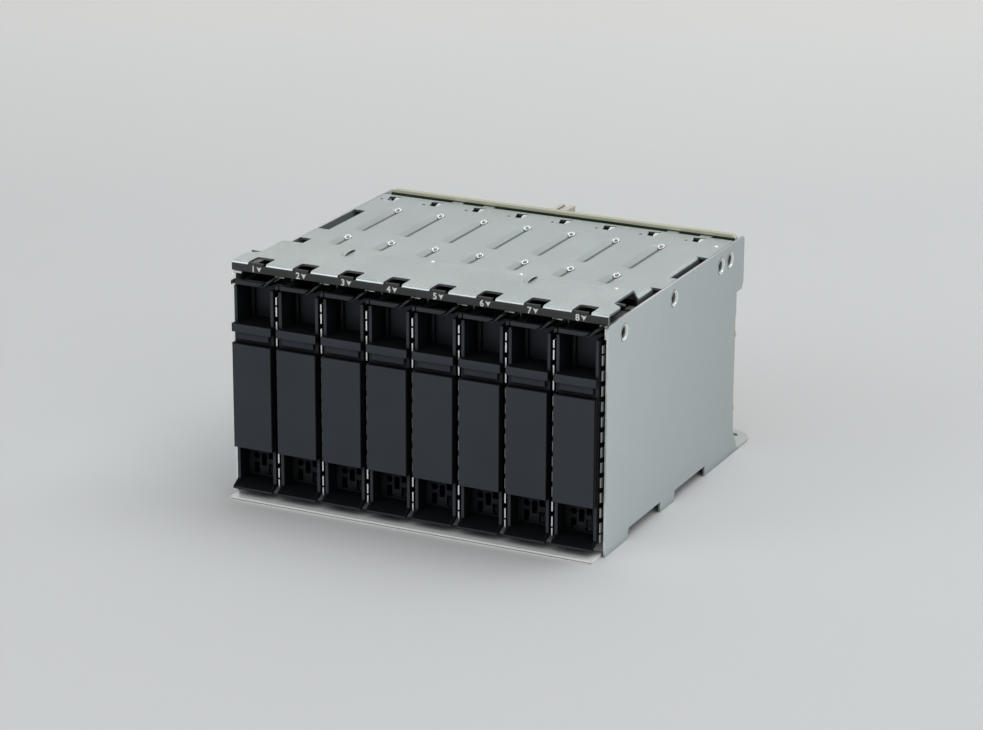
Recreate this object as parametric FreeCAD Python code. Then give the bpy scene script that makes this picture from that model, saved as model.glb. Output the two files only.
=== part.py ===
# Hot swap drive cage for eight upright 2.5-inch drives, with a filler blank in each bay.
# Axes: X across the bays, Y from the front to the back, Z up. Millimetres.
# Pieces are drawn with y = 0 at the front face of the top cover and z = 0 on the bench.
# They are moved at the end, so that the origin is the middle of the footprint.
import FreeCAD, Part
import math
import os
from FreeCAD import Vector

# ---- driving dimensions of the cage ----
bay_count = 8
bay_pitch = 17.3
cage_depth = 110.8         # cover, from its front face to its rear edge
deck_height = 80.3         # top of the low rear deck
deck_step = 3.9            # the front strip of the cover is this much higher
foot_height = 3.9          # underside of the floor above the bench
sheet = 0.8                # outer cage sheet
divider_sheet = 0.6
face_clearance = 0.15      # between sheets that slip past each other
running_gap = 0.3          # between a loose piece and the cage

inner_half = bay_count * bay_pitch / 2 + divider_sheet / 2
outer_half = inner_half + sheet
deck_under = deck_height - sheet
strip_top = deck_height + deck_step
floor_top = foot_height + sheet

# ---- side walls ----
foot_front_length = 18.2
foot_slot_length = 28.4
foot_length = 11.6
foot_slot_chamfer = 1.2
foot_slot_count = 2
wall_rear = cage_depth + 0.4
wall_rear_land = 1.6       # lands that stand behind the rear edge
wall_notch_bottom = 16.5   # the rear edge steps in between these heights
wall_notch_drop = 29.5     # top of the notch, below the deck
wall_notch_top = deck_height - wall_notch_drop
wall_notch_slope = 1.75
wall_corner = 1.0
ear_length = 7.8           # upper rear ear, behind the rear edge
ear_height = 19.3
ear_chamfer = 2.4
rear_foot_length = 6.2
rear_foot_height = 8.6
side_hole_radius = 2.1
side_sink_radius = 3.3
side_sink_depth = 0.7
side_cup_radius = 2.9
side_cup_clearance = 0.5   # hole in the liner around the pressed cup
side_hole_height = deck_height - 5.7
side_hole_front = 13.2
side_hole_rear_inset = 13.3
side_hole_count = 3
side_hole_spacing = (cage_depth - side_hole_front - side_hole_rear_inset) / (side_hole_count - 1)
locating_hole_gap = 8.5    # fourth hole, behind the last of the row

# ---- top cover ----
strip_depth = 29.0         # raised front strip
strip_wide_depth = 9.0     # full width only this far back
strip_shoulder = 4.0
strip_inset = 3.9
joggle_run = 4.0
flange_drop = 3.3
cover_bend = 1.0
window_width = 7.0
window_depth = 7.0
window_drop = 1.6          # each window runs down the front flange this far
side_gap_first = 46.4      # rear end of the first gap beside the wall
side_gap_second = 59.4
side_gap_rear = 23.8       # the last edge against the wall is this long
side_gap_third = cage_depth - side_gap_rear
lip_inset = 2.8            # where the down-bent lip starts, in from the wall
lip_bend = 1.6
lip_drop = 3.6
rib_width = 4.5
rib_depth = 0.5
rib_offset = 2.6           # ribs and their rivets lie beside each divider
rear_rib_start = 63.0
rear_rib_inset = 15.5
rear_rib_end = cage_depth - rear_rib_inset
front_rib_start = 43.4
front_rib_end = 56.7
rear_slot_width = 4.0
rear_slot_length = 5.6
rear_slot_skew = 1.4
rear_slot_inset = 4.5      # slot centre, in from the rear edge
rear_slot_offset = 3.4
pip_radius = 0.6
pip_offset = 1.3           # small hole beside each rear slot
edge_tab_width = 4.3
edge_tab_length = 1.9
edge_tab_inner = 12.6      # of each pair, in from the outer tab
edge_tab_left = -39.7
edge_tab_right = 58.4

# ---- label strip ----
label_thickness = 0.5
label_height = 2.5
label_tab_width = 5.2
label_tab_length = 0.6
label_end_gap = 0.2

# ---- dividers, and the two liners at the walls ----
divider_front = -2.4
liner_front = -1.0
tooth_root = 2.0           # bottom of the gaps between the teeth
tooth_count = 12
tooth_height = 3.4
tooth_top = deck_under - 9.0
tooth_bottom = floor_top + 4.1
tooth_pitch = (tooth_top - tooth_bottom - tooth_height) / (tooth_count - 1)
end_tooth_height = 2.7
end_tooth_gap = 0.7
top_tab_width = 3.5
top_tab_length = 3.4
top_tab_front = 0.2
top_tab_rise = 0.4         # the tab stands just above the web
divider_flange = 5.0
divider_flange_front = 42.0
divider_flange_rear = rear_rib_end + 2.7
vent_width = 10.0
vent_height = 11.0
vent_spacing = 22.0
vent_rear_inset = 44.8      # front of the first column, in from the rear edge of the cover
vent_front = cage_depth - vent_rear_inset
vent_rows = 3
vent_columns = 2
liner_flange = 5.3
liner_flange_bottom = floor_top + 4.3
liner_flange_top = deck_under - 4.5
liner_neck = 12.4          # the liner is cut down this far ahead of its flange
liner_shelf_width = 2.6
liner_shelves = ((0.4, 18.0), (20.6, 24.0))
liner_cheek = 3.8

# ---- floor ----
lip_reach = 8.4            # front lip ahead of the front face
lip_thickness = 1.4
lip_left_gap = 2.2         # lip ends, in from each wall's outer face
lip_right_gap = 1.3
floor_joggle_front = 1.7
floor_joggle_run = 1.7
floor_rear = cage_depth - 0.2
rear_ear_start = wall_rear + rear_foot_length + face_clearance
rear_ear_straight = 9.05
rear_ear_width = 22.0
rear_ear_radius = 9.4
rear_ear_reach = rear_ear_start + rear_ear_straight + rear_ear_radius
rear_ear_hole_radius = 2.3
rear_ear_hole_inset = 7.1  # in from the outer side
rear_ear_hole_setback = 6.5
rear_joggle_run = 3.9
bend_ease = 0.4            # thickens the slope of a joggle to the sheet's own
hook_width = 4.8
hook_length = 8.0
hook_inset = 1.6
hook_tip_height = 1.2

# ---- backplane ----
board_clearance = 0.3      # behind the tabs of the cover
board_front = cage_depth + edge_tab_length + board_clearance
board_thickness = 2.4
board_rear = board_front + board_thickness
board_bottom = 6.0
board_top = deck_height + 1.4
board_left_gap = 1.6       # in from each wall's inner face
board_right_gap = 0.4
board_corner = 2.0
board_slot_width = 5.0
board_slot_bottom = 22.0
board_slot_inset = 11.7
board_slot_top = board_top - board_slot_inset
liner_rear = board_front - divider_sheet
socket_width = 6.0
socket_length = 44.0
socket_depth = 7.5
socket_bottom = 12.0
socket_mouth_width = 2.2
socket_mouth_depth = 5.0
socket_wall = 1.6
socket_ear = 2.4
socket_ear_depth = 3.5
divider_rear = board_front - socket_depth - 1.5
data_width = 5.9
data_length = 25.0
data_depth = 12.6
data_wall = 0.7
data_back_wall = 2.0
data_tongue = 1.0
data_tongue_gap = 3.0
data_top = deck_height - 0.1
data_step = 0.6            # the middle of the end wall is lower than its ears
data_left_ear = 1.8
data_right_ear = 2.2
data_x = (-2.8, -33.0)
data_drop = (0.0, 10.0)    # the second one sits lower
power_width = 22.0
power_height = 10.0
power_depth = 10.5
power_x = 41.0
power_drop = 23.7          # its underside, below the top edge of the board
power_bottom = board_top - power_drop
power_wall = 1.0
power_pin_setback = 4.6    # pin tips, in from the mouth
power_pin_pitch = 4.0
power_pin_size = 1.0
power_pin_columns = 5
power_pin_rows = 2
power_ramp_width = 5.0
power_ramp_height = 1.2
screw_radius = 1.45
screw_head_radius = 2.7
screw_head_height = 1.7
screw_inset = 3.3          # in from each wall's inner face
screw_edge = 10.0          # outer screws, in from the ends of the board
screw_rows = 3
screw_recess = 0.9
screw_recess_reach = 1.7
screw_recess_width = 0.7

# ---- rivets ----
rivet_radius = 0.8
rivet_head_radius = 1.3
rivet_head_height = 0.45
rivet_rows = (front_rib_end - rib_width / 2, rear_rib_end - rib_width / 2)

# ---- filler blank ----
blank_side_gap = 0.75      # to the divider on each side
blank_width = bay_pitch - divider_sheet - 2 * blank_side_gap
blank_wall = 1.1
blank_bottom = floor_top + running_gap
blank_length = 38.0
rail_front = -2.6
panel_front = -5.0
panel_thickness = 1.5
panel_bottom = 18.4
panel_top = 56.3
groove_height = 1.3
band_front = -3.6
band_height = 2.7
band_width = 12.2
ledge_front = -4.8
ledge_height = 2.9
recess_back = 6.8
pull_back = 3.6            # back of the lower recess
recess_top = deck_height - 4.9
rail_top = deck_height - 4.3
rail_rear_drop = 4.0       # the side wall is lower behind the pivot ear
skirt_chamfer = 3.0
blank_lip_front = -6.0
blank_lip_height = 0.8
blank_lip_bottom = 3.5
lip_root = -1.9            # where the sloping lip meets the floor of the blank
blank_edge_round = 0.5
gusset_height = 0.2
inner_rib_width = 1.1
inner_rib_depth = 1.6
inner_rib_x = -4.9
inner_rib_drop = 0.6
vent_pin = 1.15
vent_columns_x = (-3.45, -0.5, 2.3)
vent_row_top = 13.15
vent_slot_width = 2.0
vent_slots = ((-3.45, 6.8, 10.7), (-0.5, 9.7, 12.3), (2.3, 12.5, 14.8), (2.3, 6.7, 10.6))

# ---- latch of the blank ----
pivot_y = 24.0
pivot_z = deck_height - 2.7
pivot_radius = 1.0
pivot_clearance = 0.06
pivot_end_gap = 0.1
pivot_ear = 2.4            # half width of the ear around the pivot
pivot_ear_rise = 1.3
barrel_radius = 1.5
latch_side_gap = 0.25
arm_bottom = deck_height - 3.3
arm_thickness = 1.1
arm_relief = 0.4           # the arm is thinner here, so it clears the back of the recess
arm_relief_span = (3.0, 19.0)
arm_window_span = (-2.2, 18.0)
arm_window_side = 2.4
bar_front = -4.8
bar_rear = -2.9
bar_bottom = deck_height - 3.4
bar_height = 2.0
bar_end_round = 0.9
bar_cap = 1.2              # end cap of the grip bar, left of its groove
bar_groove = 0.5
bar_groove_depth = 0.8
finger_top = strip_top - flange_drop - running_gap
finger_front = -4.6
finger_rear = -0.6
finger_width = 1.2         # along X, so about 0.9 square to its slope
finger_slot = 0.7          # open slit between the grip bar and the finger
finger_overhang = 1.3      # the tip stands past the side of the blank
finger_slope = 0.95

# ---- middle of the footprint ----
origin_y = (rear_ear_reach - lip_reach) / 2


def bay_centre(index):
    return (index + 0.5) * bay_pitch - bay_count * bay_pitch / 2


def bay_edge(index):
    return index * bay_pitch - bay_count * bay_pitch / 2


def box(x0, x1, y0, y1, z0, z1):
    return Part.makeBox(x1 - x0, y1 - y0, z1 - z0, Vector(x0, y0, z0))


def side_profile(points, x0, x1):
    """A Y-Z outline pushed along X."""
    corners = [Vector(x0, y, z) for y, z in points]
    face = Part.Face(Part.makePolygon(corners + corners[:1]))
    return face.extrude(Vector(x1 - x0, 0, 0))


def plan_profile(points, z0, z1):
    """An X-Y outline pushed up Z."""
    corners = [Vector(x, y, z0) for x, y in points]
    face = Part.Face(Part.makePolygon(corners + corners[:1]))
    return face.extrude(Vector(0, 0, z1 - z0))


def front_profile(points, y0, y1):
    """An X-Z outline pushed along Y."""
    corners = [Vector(x, y0, z) for x, z in points]
    face = Part.Face(Part.makePolygon(corners + corners[:1]))
    return face.extrude(Vector(0, y1 - y0, 0))


def rod(radius, start, direction, length):
    return Part.makeCylinder(radius, length, start, direction)


def slot_along_y(x, y0, y1, width, z0, z1):
    """A round-ended bar in plan, standing from z0 to z1."""
    radius = width / 2
    up = Vector(0, 0, 1)
    ends = [rod(radius, Vector(x, y, z0), up, z1 - z0) for y in (y0 + radius, y1 - radius)]
    middle = box(x - radius, x + radius, y0 + radius, y1 - radius, z0, z1)
    return middle.multiFuse(ends).removeSplitter()


def both_sides(shape):
    return [shape, shape.mirror(Vector(0, 0, 0), Vector(1, 0, 0))]


def joined(shapes):
    return shapes[0].multiFuse(shapes[1:]).removeSplitter()


def compound(shapes):
    return Part.makeCompound(shapes)


def edges_where(shape, test):
    return [edge for edge in shape.Edges if test(edge)]


# ---- cage sheet metal ----

def wall_outline():
    points = [(0, 0), (foot_front_length, 0)]
    start = foot_front_length
    for index in range(foot_slot_count):
        end = start + foot_slot_length
        points.append((start + foot_slot_chamfer, foot_height))
        points.append((end, foot_height))
        points.append((end, 0))
        start = end + foot_length
        if index < foot_slot_count - 1:
            points.append((start, 0))
    land = wall_rear + wall_rear_land
    ear = wall_rear + ear_length
    ear_bottom = deck_height - ear_height
    shoulder = deck_height - wall_corner
    points += [(wall_rear + rear_foot_length, 0), (wall_rear + rear_foot_length, sheet)]
    points += [(land, rear_foot_height), (land, wall_notch_bottom - wall_notch_slope)]
    points += [(wall_rear, wall_notch_bottom), (wall_rear, wall_notch_top)]
    points += [(land, wall_notch_top + wall_notch_slope), (land, ear_bottom)]
    points += [(ear - wall_rear_land, ear_bottom), (ear, ear_bottom + ear_chamfer)]
    points += [(ear, shoulder), (ear - wall_corner, deck_height)]
    points += [(wall_corner, deck_height), (0, shoulder)]
    return points


def side_hole_places():
    row = [side_hole_front + side_hole_spacing * index for index in range(side_hole_count)]
    return row + [row[-1] + locating_hole_gap]


def side_wall_right():
    wall = side_profile(wall_outline(), inner_half, outer_half)
    height = side_hole_height
    inward = Vector(-1, 0, 0)
    depth = sheet + divider_sheet
    cups = []
    bores = []
    for y in side_hole_places():
        mouth = Vector(outer_half, y, height)
        root = Vector(inner_half, y, height)
        cups.append(rod(side_cup_radius, root, inward, divider_sheet))
        bores.append(Part.makeCone(side_sink_radius, side_hole_radius, side_sink_depth, mouth, inward))
        bores.append(rod(side_hole_radius, mouth, inward, depth))
    return joined([wall] + cups).cut(compound(bores))


def teeth_edges(top):
    """Heights where the castellated front edge steps in and out, from the top down."""
    spans = [(tooth_top + end_tooth_gap, tooth_top + end_tooth_gap + end_tooth_height)]
    for index in range(tooth_count):
        high = tooth_top - tooth_pitch * index
        spans.append((high - tooth_height, high))
    low = spans[-1][0] - end_tooth_gap
    spans.append((low - end_tooth_height, low))
    return spans


def toothed_sheet(x0, x1, front, rear):
    """An upright sheet whose front edge is cut into short teeth."""
    root = tooth_root
    points = [(root, floor_top)]
    for low, high in reversed(teeth_edges(deck_under)):
        points += [(root, low), (front, low), (front, high), (root, high)]
    points += [(root, deck_under), (rear, deck_under), (rear, floor_top)]
    return side_profile(points, x0, x1)


def divider(x):
    half = divider_sheet / 2
    web = toothed_sheet(x - half, x + half, divider_front, divider_rear)
    vents = []
    for row in range(vent_rows):
        z = (floor_top + deck_under) / 2 + (row - (vent_rows - 1) / 2) * vent_spacing
        for column in range(vent_columns):
            y = vent_front + column * vent_spacing
            low = z - vent_height / 2
            vents.append(box(x - sheet, x + sheet, y, y + vent_width, low, low + vent_height))
    web = web.cut(compound(vents))
    front, rear = divider_flange_front, divider_flange_rear
    left = x - half - divider_flange
    top = box(left, x + half, front, rear, deck_under - divider_sheet, deck_under)
    bottom = box(left, x + half, front, rear, floor_top, floor_top + divider_sheet)
    tab_half = top_tab_width / 2
    tab_rear = top_tab_front + top_tab_length
    top_tab_bottom = deck_under + top_tab_rise
    tab_top = top_tab_bottom + divider_sheet
    neck = box(x - half, x + half, top_tab_front, tab_rear, deck_under, top_tab_bottom)
    tab = box(x - tab_half, x + tab_half, top_tab_front, tab_rear, top_tab_bottom, tab_top)
    shape = joined([web, top, bottom, neck, tab])
    holes = []
    for y in rivet_rows:
        holes.append(rod(rivet_radius, Vector(x - rib_offset, y, 0), Vector(0, 0, 1), deck_height))
    return shape.cut(compound(holes))


def liner_right():
    outer = inner_half
    inner = inner_half - divider_sheet
    web = toothed_sheet(inner, outer, liner_front, liner_rear)
    end = liner_rear + divider_sheet
    flange = box(outer - liner_flange, outer, liner_rear, end, liner_flange_bottom, liner_flange_top)
    neck = liner_rear - liner_neck
    web = web.cut(box(inner, outer, neck, end, liner_flange_top, deck_height))
    web = web.cut(box(inner, outer, neck, end, 0, liner_flange_bottom))
    shelf_under = deck_height - divider_sheet
    cheek = box(inner, outer, 0, tooth_root + 1.0, deck_under - liner_cheek, deck_under)
    pieces = [web, flange, cheek]
    for start, stop in liner_shelves:
        pieces.append(box(outer - liner_shelf_width, outer, start, stop, shelf_under, deck_height))
        pieces.append(box(inner, outer, start, stop, deck_under, deck_height))
    shape = joined(pieces)
    height = side_hole_height
    radius = side_cup_radius + side_cup_clearance
    across = Vector(1, 0, 0)
    cups = [rod(radius, Vector(inner, y, height), across, divider_sheet) for y in side_hole_places()]
    along = Vector(0, 1, 0)
    pilots = []
    for z in screw_heights():
        pilots.append(rod(screw_radius, Vector(screw_x(), liner_rear, z), along, divider_sheet))
    return shape.cut(compound(cups + pilots))


def cover_section():
    """Front flange, raised strip, joggle and deck as one bent sheet, seen from the side."""
    drop = strip_top - flange_drop
    front_under = strip_top - sheet
    joggle = strip_depth + joggle_run
    outer = [(0, drop), (0, strip_top), (strip_depth, strip_top), (joggle, deck_height)]
    inner = [(cage_depth, deck_height), (cage_depth, deck_under), (joggle - bend_ease, deck_under)]
    back = [(strip_depth - bend_ease, front_under), (sheet, front_under), (sheet, drop)]
    return outer + inner + back


def cover_lip(y0, y1):
    """Edge bent down beside the wall: a quarter bend and a short flange."""
    start = inner_half - lip_inset
    centre_z = deck_height - lip_bend
    tip = centre_z - lip_drop + lip_bend
    outer = rod(lip_bend, Vector(start, y0, centre_z), Vector(0, 1, 0), y1 - y0)
    inner = rod(lip_bend - sheet, Vector(start, y0, centre_z), Vector(0, 1, 0), y1 - y0)
    quarter = box(start, start + lip_bend, y0, y1, centre_z, deck_height)
    bend = outer.cut(inner).common(quarter)
    flange = box(start + lip_bend - sheet, start + lip_bend, y0, y1, tip, centre_z)
    return bend.fuse(flange).removeSplitter()


def top_cover():
    sheet_metal = side_profile(cover_section(), -outer_half, outer_half)
    top_front = edges_where(sheet_metal, is_top_front_edge)
    sheet_metal = sheet_metal.makeFillet(cover_bend, top_front)
    deck_half = inner_half - face_clearance
    lip_start = inner_half - lip_inset
    strip_half = outer_half - strip_inset
    joggle_end = strip_depth + joggle_run
    trims = []
    far = outer_half + 1
    narrow = strip_wide_depth + strip_shoulder
    corner = [(far, strip_wide_depth), (outer_half, strip_wide_depth), (strip_half, narrow)]
    corner += [(strip_half, joggle_end), (lip_start, joggle_end), (lip_start, side_gap_first)]
    corner += [(deck_half, side_gap_first), (deck_half, side_gap_second)]
    corner += [(lip_start, side_gap_second), (lip_start, side_gap_third)]
    corner += [(deck_half, side_gap_third), (deck_half, cage_depth + 1), (far, cage_depth + 1)]
    trims += both_sides(plan_profile(corner, 0, strip_top + 1))
    for index in range(bay_count):
        x = bay_centre(index)
        half = window_width / 2
        trims.append(box(x - half, x + half, -1, window_depth, strip_top - window_drop, strip_top + 1))
        trims.append(rear_slot(x))
    shape = sheet_metal.cut(compound(trims))
    lips = both_sides(cover_lip(joggle_end, side_gap_first))
    lips += both_sides(cover_lip(side_gap_second, side_gap_third))
    tabs = []
    for x in edge_tab_places():
        half = edge_tab_width / 2
        tab_rear = cage_depth + edge_tab_length
        tabs.append(box(x - half, x + half, cage_depth - sheet, tab_rear, deck_under, deck_height))
    shape = joined([shape] + lips + tabs)
    return emboss_cover(shape)


def is_top_front_edge(edge):
    ends = edge.BoundBox
    level = abs(ends.ZMin - strip_top) < 1e-4 and abs(ends.ZMax - strip_top) < 1e-4
    return level and abs(ends.YMin) < 1e-4 and abs(ends.YMax) < 1e-4


def edge_tab_places():
    """Two pairs of tabs on the rear edge."""
    outer = [edge_tab_left, edge_tab_right]
    return outer + [edge_tab_left + edge_tab_inner, edge_tab_right - edge_tab_inner]


def rear_slot(x):
    """A skewed slot near the rear edge, with a pip hole at its front left corner."""
    left = x - rear_slot_offset - rear_slot_width / 2
    right = left + rear_slot_width
    front = cage_depth - rear_slot_inset - rear_slot_length / 2
    rear = front + rear_slot_length
    points = [(left + rear_slot_skew, front), (right, front), (right, rear), (left, rear - pip_radius)]
    window = plan_profile(points, deck_under, deck_height)
    pip = rod(pip_radius, Vector(left - pip_offset, front + pip_radius, deck_under), Vector(0, 0, 1), sheet)
    return window.fuse(pip)


def emboss_cover(shape):
    """Shallow troughs pressed down beside each divider, with the rivet holes at their ends."""
    cuts = []
    for index in range(1, bay_count):
        x = bay_edge(index) - rib_offset
        for start, end in ((front_rib_start, front_rib_end), (rear_rib_start, rear_rib_end)):
            cuts.append(slot_along_y(x, start, end, rib_width, deck_height - rib_depth, deck_height + 1))
        for y in rivet_rows:
            place = Vector(bay_edge(index) - rib_offset, y, deck_under - 1)
            cuts.append(rod(rivet_radius, place, Vector(0, 0, 1), 4))
    return shape.cut(compound(cuts))


def label_strip():
    top = strip_top - flange_drop + label_height
    half = outer_half - label_end_gap
    strip = box(-half, half, -label_thickness, 0, top - label_height, top)
    pieces = [strip]
    for index in range(bay_count):
        x = bay_centre(index)
        tab = label_tab_width / 2
        pieces.append(box(x - tab, x + tab, -label_thickness, 0, top, strip_top))
        pieces.append(box(x - tab, x + tab, 0, label_tab_length, strip_top - sheet, strip_top))
    return joined(pieces)


def floor_section():
    under = foot_height
    rise = floor_joggle_front + floor_joggle_run
    points = [(-lip_reach, 0), (floor_joggle_front, 0), (rise, under), (floor_rear, under)]
    points += [(floor_rear, floor_top), (rise - bend_ease, floor_top)]
    points += [(floor_joggle_front - bend_ease, lip_thickness), (-lip_reach, lip_thickness)]
    return points


def rear_ear_right():
    """A low ear behind the wall with one fixing hole."""
    outer = outer_half
    inner = outer - rear_ear_width
    start = rear_ear_start
    radius = rear_ear_radius
    flat = box(inner, outer, start, rear_ear_reach, 0, sheet)
    corners = edges_where(flat, is_rear_corner)
    flat = flat.makeFillet(radius, corners)
    joggle_end = floor_rear + rear_joggle_run
    ramp = [(floor_rear - 1, foot_height), (floor_rear - 1, floor_top), (floor_rear, floor_top)]
    ramp += [(joggle_end, sheet), (start, sheet), (start, 0), (joggle_end - bend_ease, 0)]
    ramp += [(floor_rear - bend_ease, foot_height)]
    bridge = side_profile(ramp, inner, inner_half - face_clearance)
    ear = joined([flat, bridge])
    place = Vector(outer - rear_ear_hole_inset, rear_ear_reach - rear_ear_hole_setback, 0)
    return ear.cut(rod(rear_ear_hole_radius, place, Vector(0, 0, 1), sheet))


def is_rear_corner(edge):
    ends = edge.BoundBox
    return abs(ends.YMin - rear_ear_reach) < 1e-4 and ends.ZMax - ends.ZMin > sheet / 2


def hook_right(y_end):
    """A tongue lanced out of the floor that ramps down towards the bench."""
    start = y_end - hook_length
    points = [(start, foot_height), (y_end, hook_tip_height), (y_end, hook_tip_height + sheet)]
    points += [(start + 1.0, foot_height + sheet), (start - 0.6, foot_height + sheet)]
    points += [(start - 0.6, foot_height)]
    outer = inner_half - hook_inset
    return side_profile(points, outer - hook_width, outer)


def floor_plate():
    half = inner_half
    plate = side_profile(floor_section(), -half, half)
    trim_rear = floor_joggle_front + 0.6
    right = box(outer_half - lip_right_gap, outer_half, -lip_reach, trim_rear, 0, lip_thickness + 0.2)
    left = box(-outer_half, lip_left_gap - outer_half, -lip_reach, trim_rear, 0, lip_thickness + 0.2)
    shape = plate.cut(compound([left, right]))
    extras = both_sides(rear_ear_right())
    cuts = []
    start = foot_front_length
    for index in range(foot_slot_count):
        end = start + foot_slot_length
        start = end + foot_length
        hook = hook_right(end - sheet)
        extras += both_sides(hook)
        outer = inner_half - hook_inset
        lance_front = end - hook_length + bend_ease / 2
        lance = box(outer - hook_width, outer, lance_front, end, foot_height - sheet, floor_top + sheet)
        cuts += both_sides(lance)
    for index in range(1, bay_count):
        for y in rivet_rows:
            place = Vector(bay_edge(index) - rib_offset, y, foot_height - 1)
            cuts.append(rod(rivet_radius, place, Vector(0, 0, 1), 4))
    shape = shape.cut(compound(cuts))
    return joined([shape] + extras)


def rivet(x, y, head_z, tail_z, up):
    """A short rivet: a head on the outer sheet, a shank, and a set tail inside."""
    low = min(head_z, tail_z)
    high = max(head_z, tail_z)
    shank = rod(rivet_radius, Vector(x, y, low), Vector(0, 0, 1), high - low)
    head = rod(rivet_head_radius, Vector(x, y, head_z), Vector(0, 0, up), rivet_head_height)
    tail = rod(rivet_head_radius, Vector(x, y, tail_z), Vector(0, 0, -up), rivet_head_height)
    return joined([shank, head, tail])


def cover_rivets():
    head = deck_height - rib_depth
    tail = deck_under - divider_sheet
    places = [(bay_edge(i) - rib_offset, y) for i in range(1, bay_count) for y in rivet_rows]
    return compound([rivet(x, y, head, tail, 1) for x, y in places])


def floor_rivets():
    tail = floor_top + divider_sheet
    places = [(bay_edge(i) - rib_offset, y) for i in range(1, bay_count) for y in rivet_rows]
    return compound([rivet(x, y, foot_height, tail, -1) for x, y in places])


# ---- backplane ----

def screw_x():
    return inner_half - screw_inset


def screw_heights():
    low = board_bottom + screw_edge
    high = board_top - screw_edge
    return [low + (high - low) * row / (screw_rows - 1) for row in range(screw_rows)]


def backplane_board():
    left = board_left_gap - inner_half
    right = inner_half - board_right_gap
    board = box(left, right, board_front, board_rear, board_bottom, board_top)
    corners = edges_where(board, is_along_y)
    board = board.makeFillet(board_corner, corners)
    cuts = []
    for index in range(1, bay_count):
        x = bay_edge(index)
        if index != bay_count // 2:
            cuts.append(board_slot(x))
    for side in (-1, 1):
        for z in screw_heights():
            place = Vector(side * screw_x(), board_front - 1, z)
            cuts.append(rod(screw_radius, place, Vector(0, 1, 0), board_thickness + 2))
    return board.cut(compound(cuts))


def is_along_y(edge):
    ends = edge.BoundBox
    return ends.YMax - ends.YMin > board_thickness / 2


def board_slot(x):
    radius = board_slot_width / 2
    low = board_slot_bottom + radius
    high = board_slot_top - radius
    start = board_front - 1
    length = board_thickness + 2
    ends = [rod(radius, Vector(x, start, z), Vector(0, 1, 0), length) for z in (low, high)]
    middle = box(x - radius, x + radius, start, start + length, low, high)
    return joined([middle] + ends)


def drive_socket(x):
    """The mating socket of one bay, on the front of the board."""
    half = socket_width / 2
    rear = board_front
    front = rear - socket_depth
    top = socket_bottom + socket_length
    body = box(x - half, x + half, front, rear, socket_bottom, top)
    mouth_half = socket_mouth_width / 2
    low = socket_bottom + socket_wall
    high = top - socket_wall
    mouth = box(x - mouth_half, x + mouth_half, front, front + socket_mouth_depth, low, high)
    tongue_half = socket_mouth_width / 6
    gap = socket_wall
    mouth_floor = front + socket_mouth_depth
    tongue = box(x - tongue_half, x + tongue_half, front + gap, mouth_floor, low + gap, high - gap)
    ears = []
    for z in (socket_bottom - socket_ear, top):
        ears.append(box(x - half, x + half, rear - socket_ear_depth, rear, z, z + socket_ear))
    body = joined([body] + ears)
    body = body.cut(mouth)
    return body.fuse(tongue).removeSplitter()


def data_connector(x, top):
    """A tall shielded receptacle that opens to the rear, with two raised ears on its end wall."""
    half = data_width / 2
    low = top - data_length
    rear = board_rear + data_depth
    middle = top - data_step
    shell = box(x - half, x + half, board_rear, rear, low, middle)
    ears = [box(x - half, x - half + data_left_ear, board_rear, rear, middle, top)]
    ears.append(box(x + half - data_right_ear, x + half, board_rear, rear, middle, top))
    shell = joined([shell] + ears)
    mouth_floor = board_rear + data_back_wall
    left = x - half + data_wall
    right = x + half - data_wall
    mouth = box(left, right, mouth_floor, rear + 1, low + data_wall, middle - data_wall)
    tongue_half = data_tongue / 2
    gap = data_tongue_gap
    tongue = box(x - tongue_half, x + tongue_half, mouth_floor, rear - gap, low + gap, middle - gap)
    shell = shell.cut(mouth)
    return shell.fuse(tongue).removeSplitter()


def power_connector():
    """A shrouded header with two rows of pins and a locking ramp on top."""
    left = power_x - power_width / 2
    right = power_x + power_width / 2
    top = power_bottom + power_height
    rear = board_rear + power_depth
    body = box(left, right, board_rear, rear, power_bottom, top)
    wall = power_wall
    mouth_floor = board_rear + data_back_wall
    mouth = box(left + wall, right - wall, mouth_floor, rear, power_bottom + wall, top - wall)
    pins = []
    half = power_pin_size / 2
    tip = rear - power_pin_setback
    for column in range(power_pin_columns):
        x = power_x + (column - (power_pin_columns - 1) / 2) * power_pin_pitch
        for row in range(power_pin_rows):
            z = power_bottom + power_height / 2 + (row - (power_pin_rows - 1) / 2) * power_pin_pitch
            pins.append(box(x - half, x + half, mouth_floor, tip, z - half, z + half))
    ramp_half = power_ramp_width / 2
    ramp_front = mouth_floor + wall
    ramp_top = top + power_ramp_height
    ramp = box(power_x - ramp_half, power_x + ramp_half, ramp_front, rear - wall, top, ramp_top)
    return joined([body.cut(mouth), ramp] + pins)


def backplane_screws():
    screws = []
    for side in (-1, 1):
        for z in screw_heights():
            start = Vector(side * screw_x(), liner_rear - sheet, z)
            shank_length = board_rear - liner_rear + sheet
            shank = rod(screw_radius, start, Vector(0, 1, 0), shank_length)
            seat = Vector(side * screw_x(), board_rear, z)
            head = rod(screw_head_radius, seat, Vector(0, 1, 0), screw_head_height)
            recess_start = board_rear + screw_head_height - screw_recess
            recess_end = recess_start + screw_recess
            arm = screw_recess_reach
            half = screw_recess_width / 2
            x = side * screw_x()
            cross = [box(x - arm, x + arm, recess_start, recess_end, z - half, z + half)]
            cross.append(box(x - half, x + half, recess_start, recess_end, z - arm, z + arm))
            screws.append(joined([shank, head]).cut(joined(cross)))
    return compound(screws)


# ---- filler blank: drawn about x = 0, then copied to each bay ----

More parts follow.
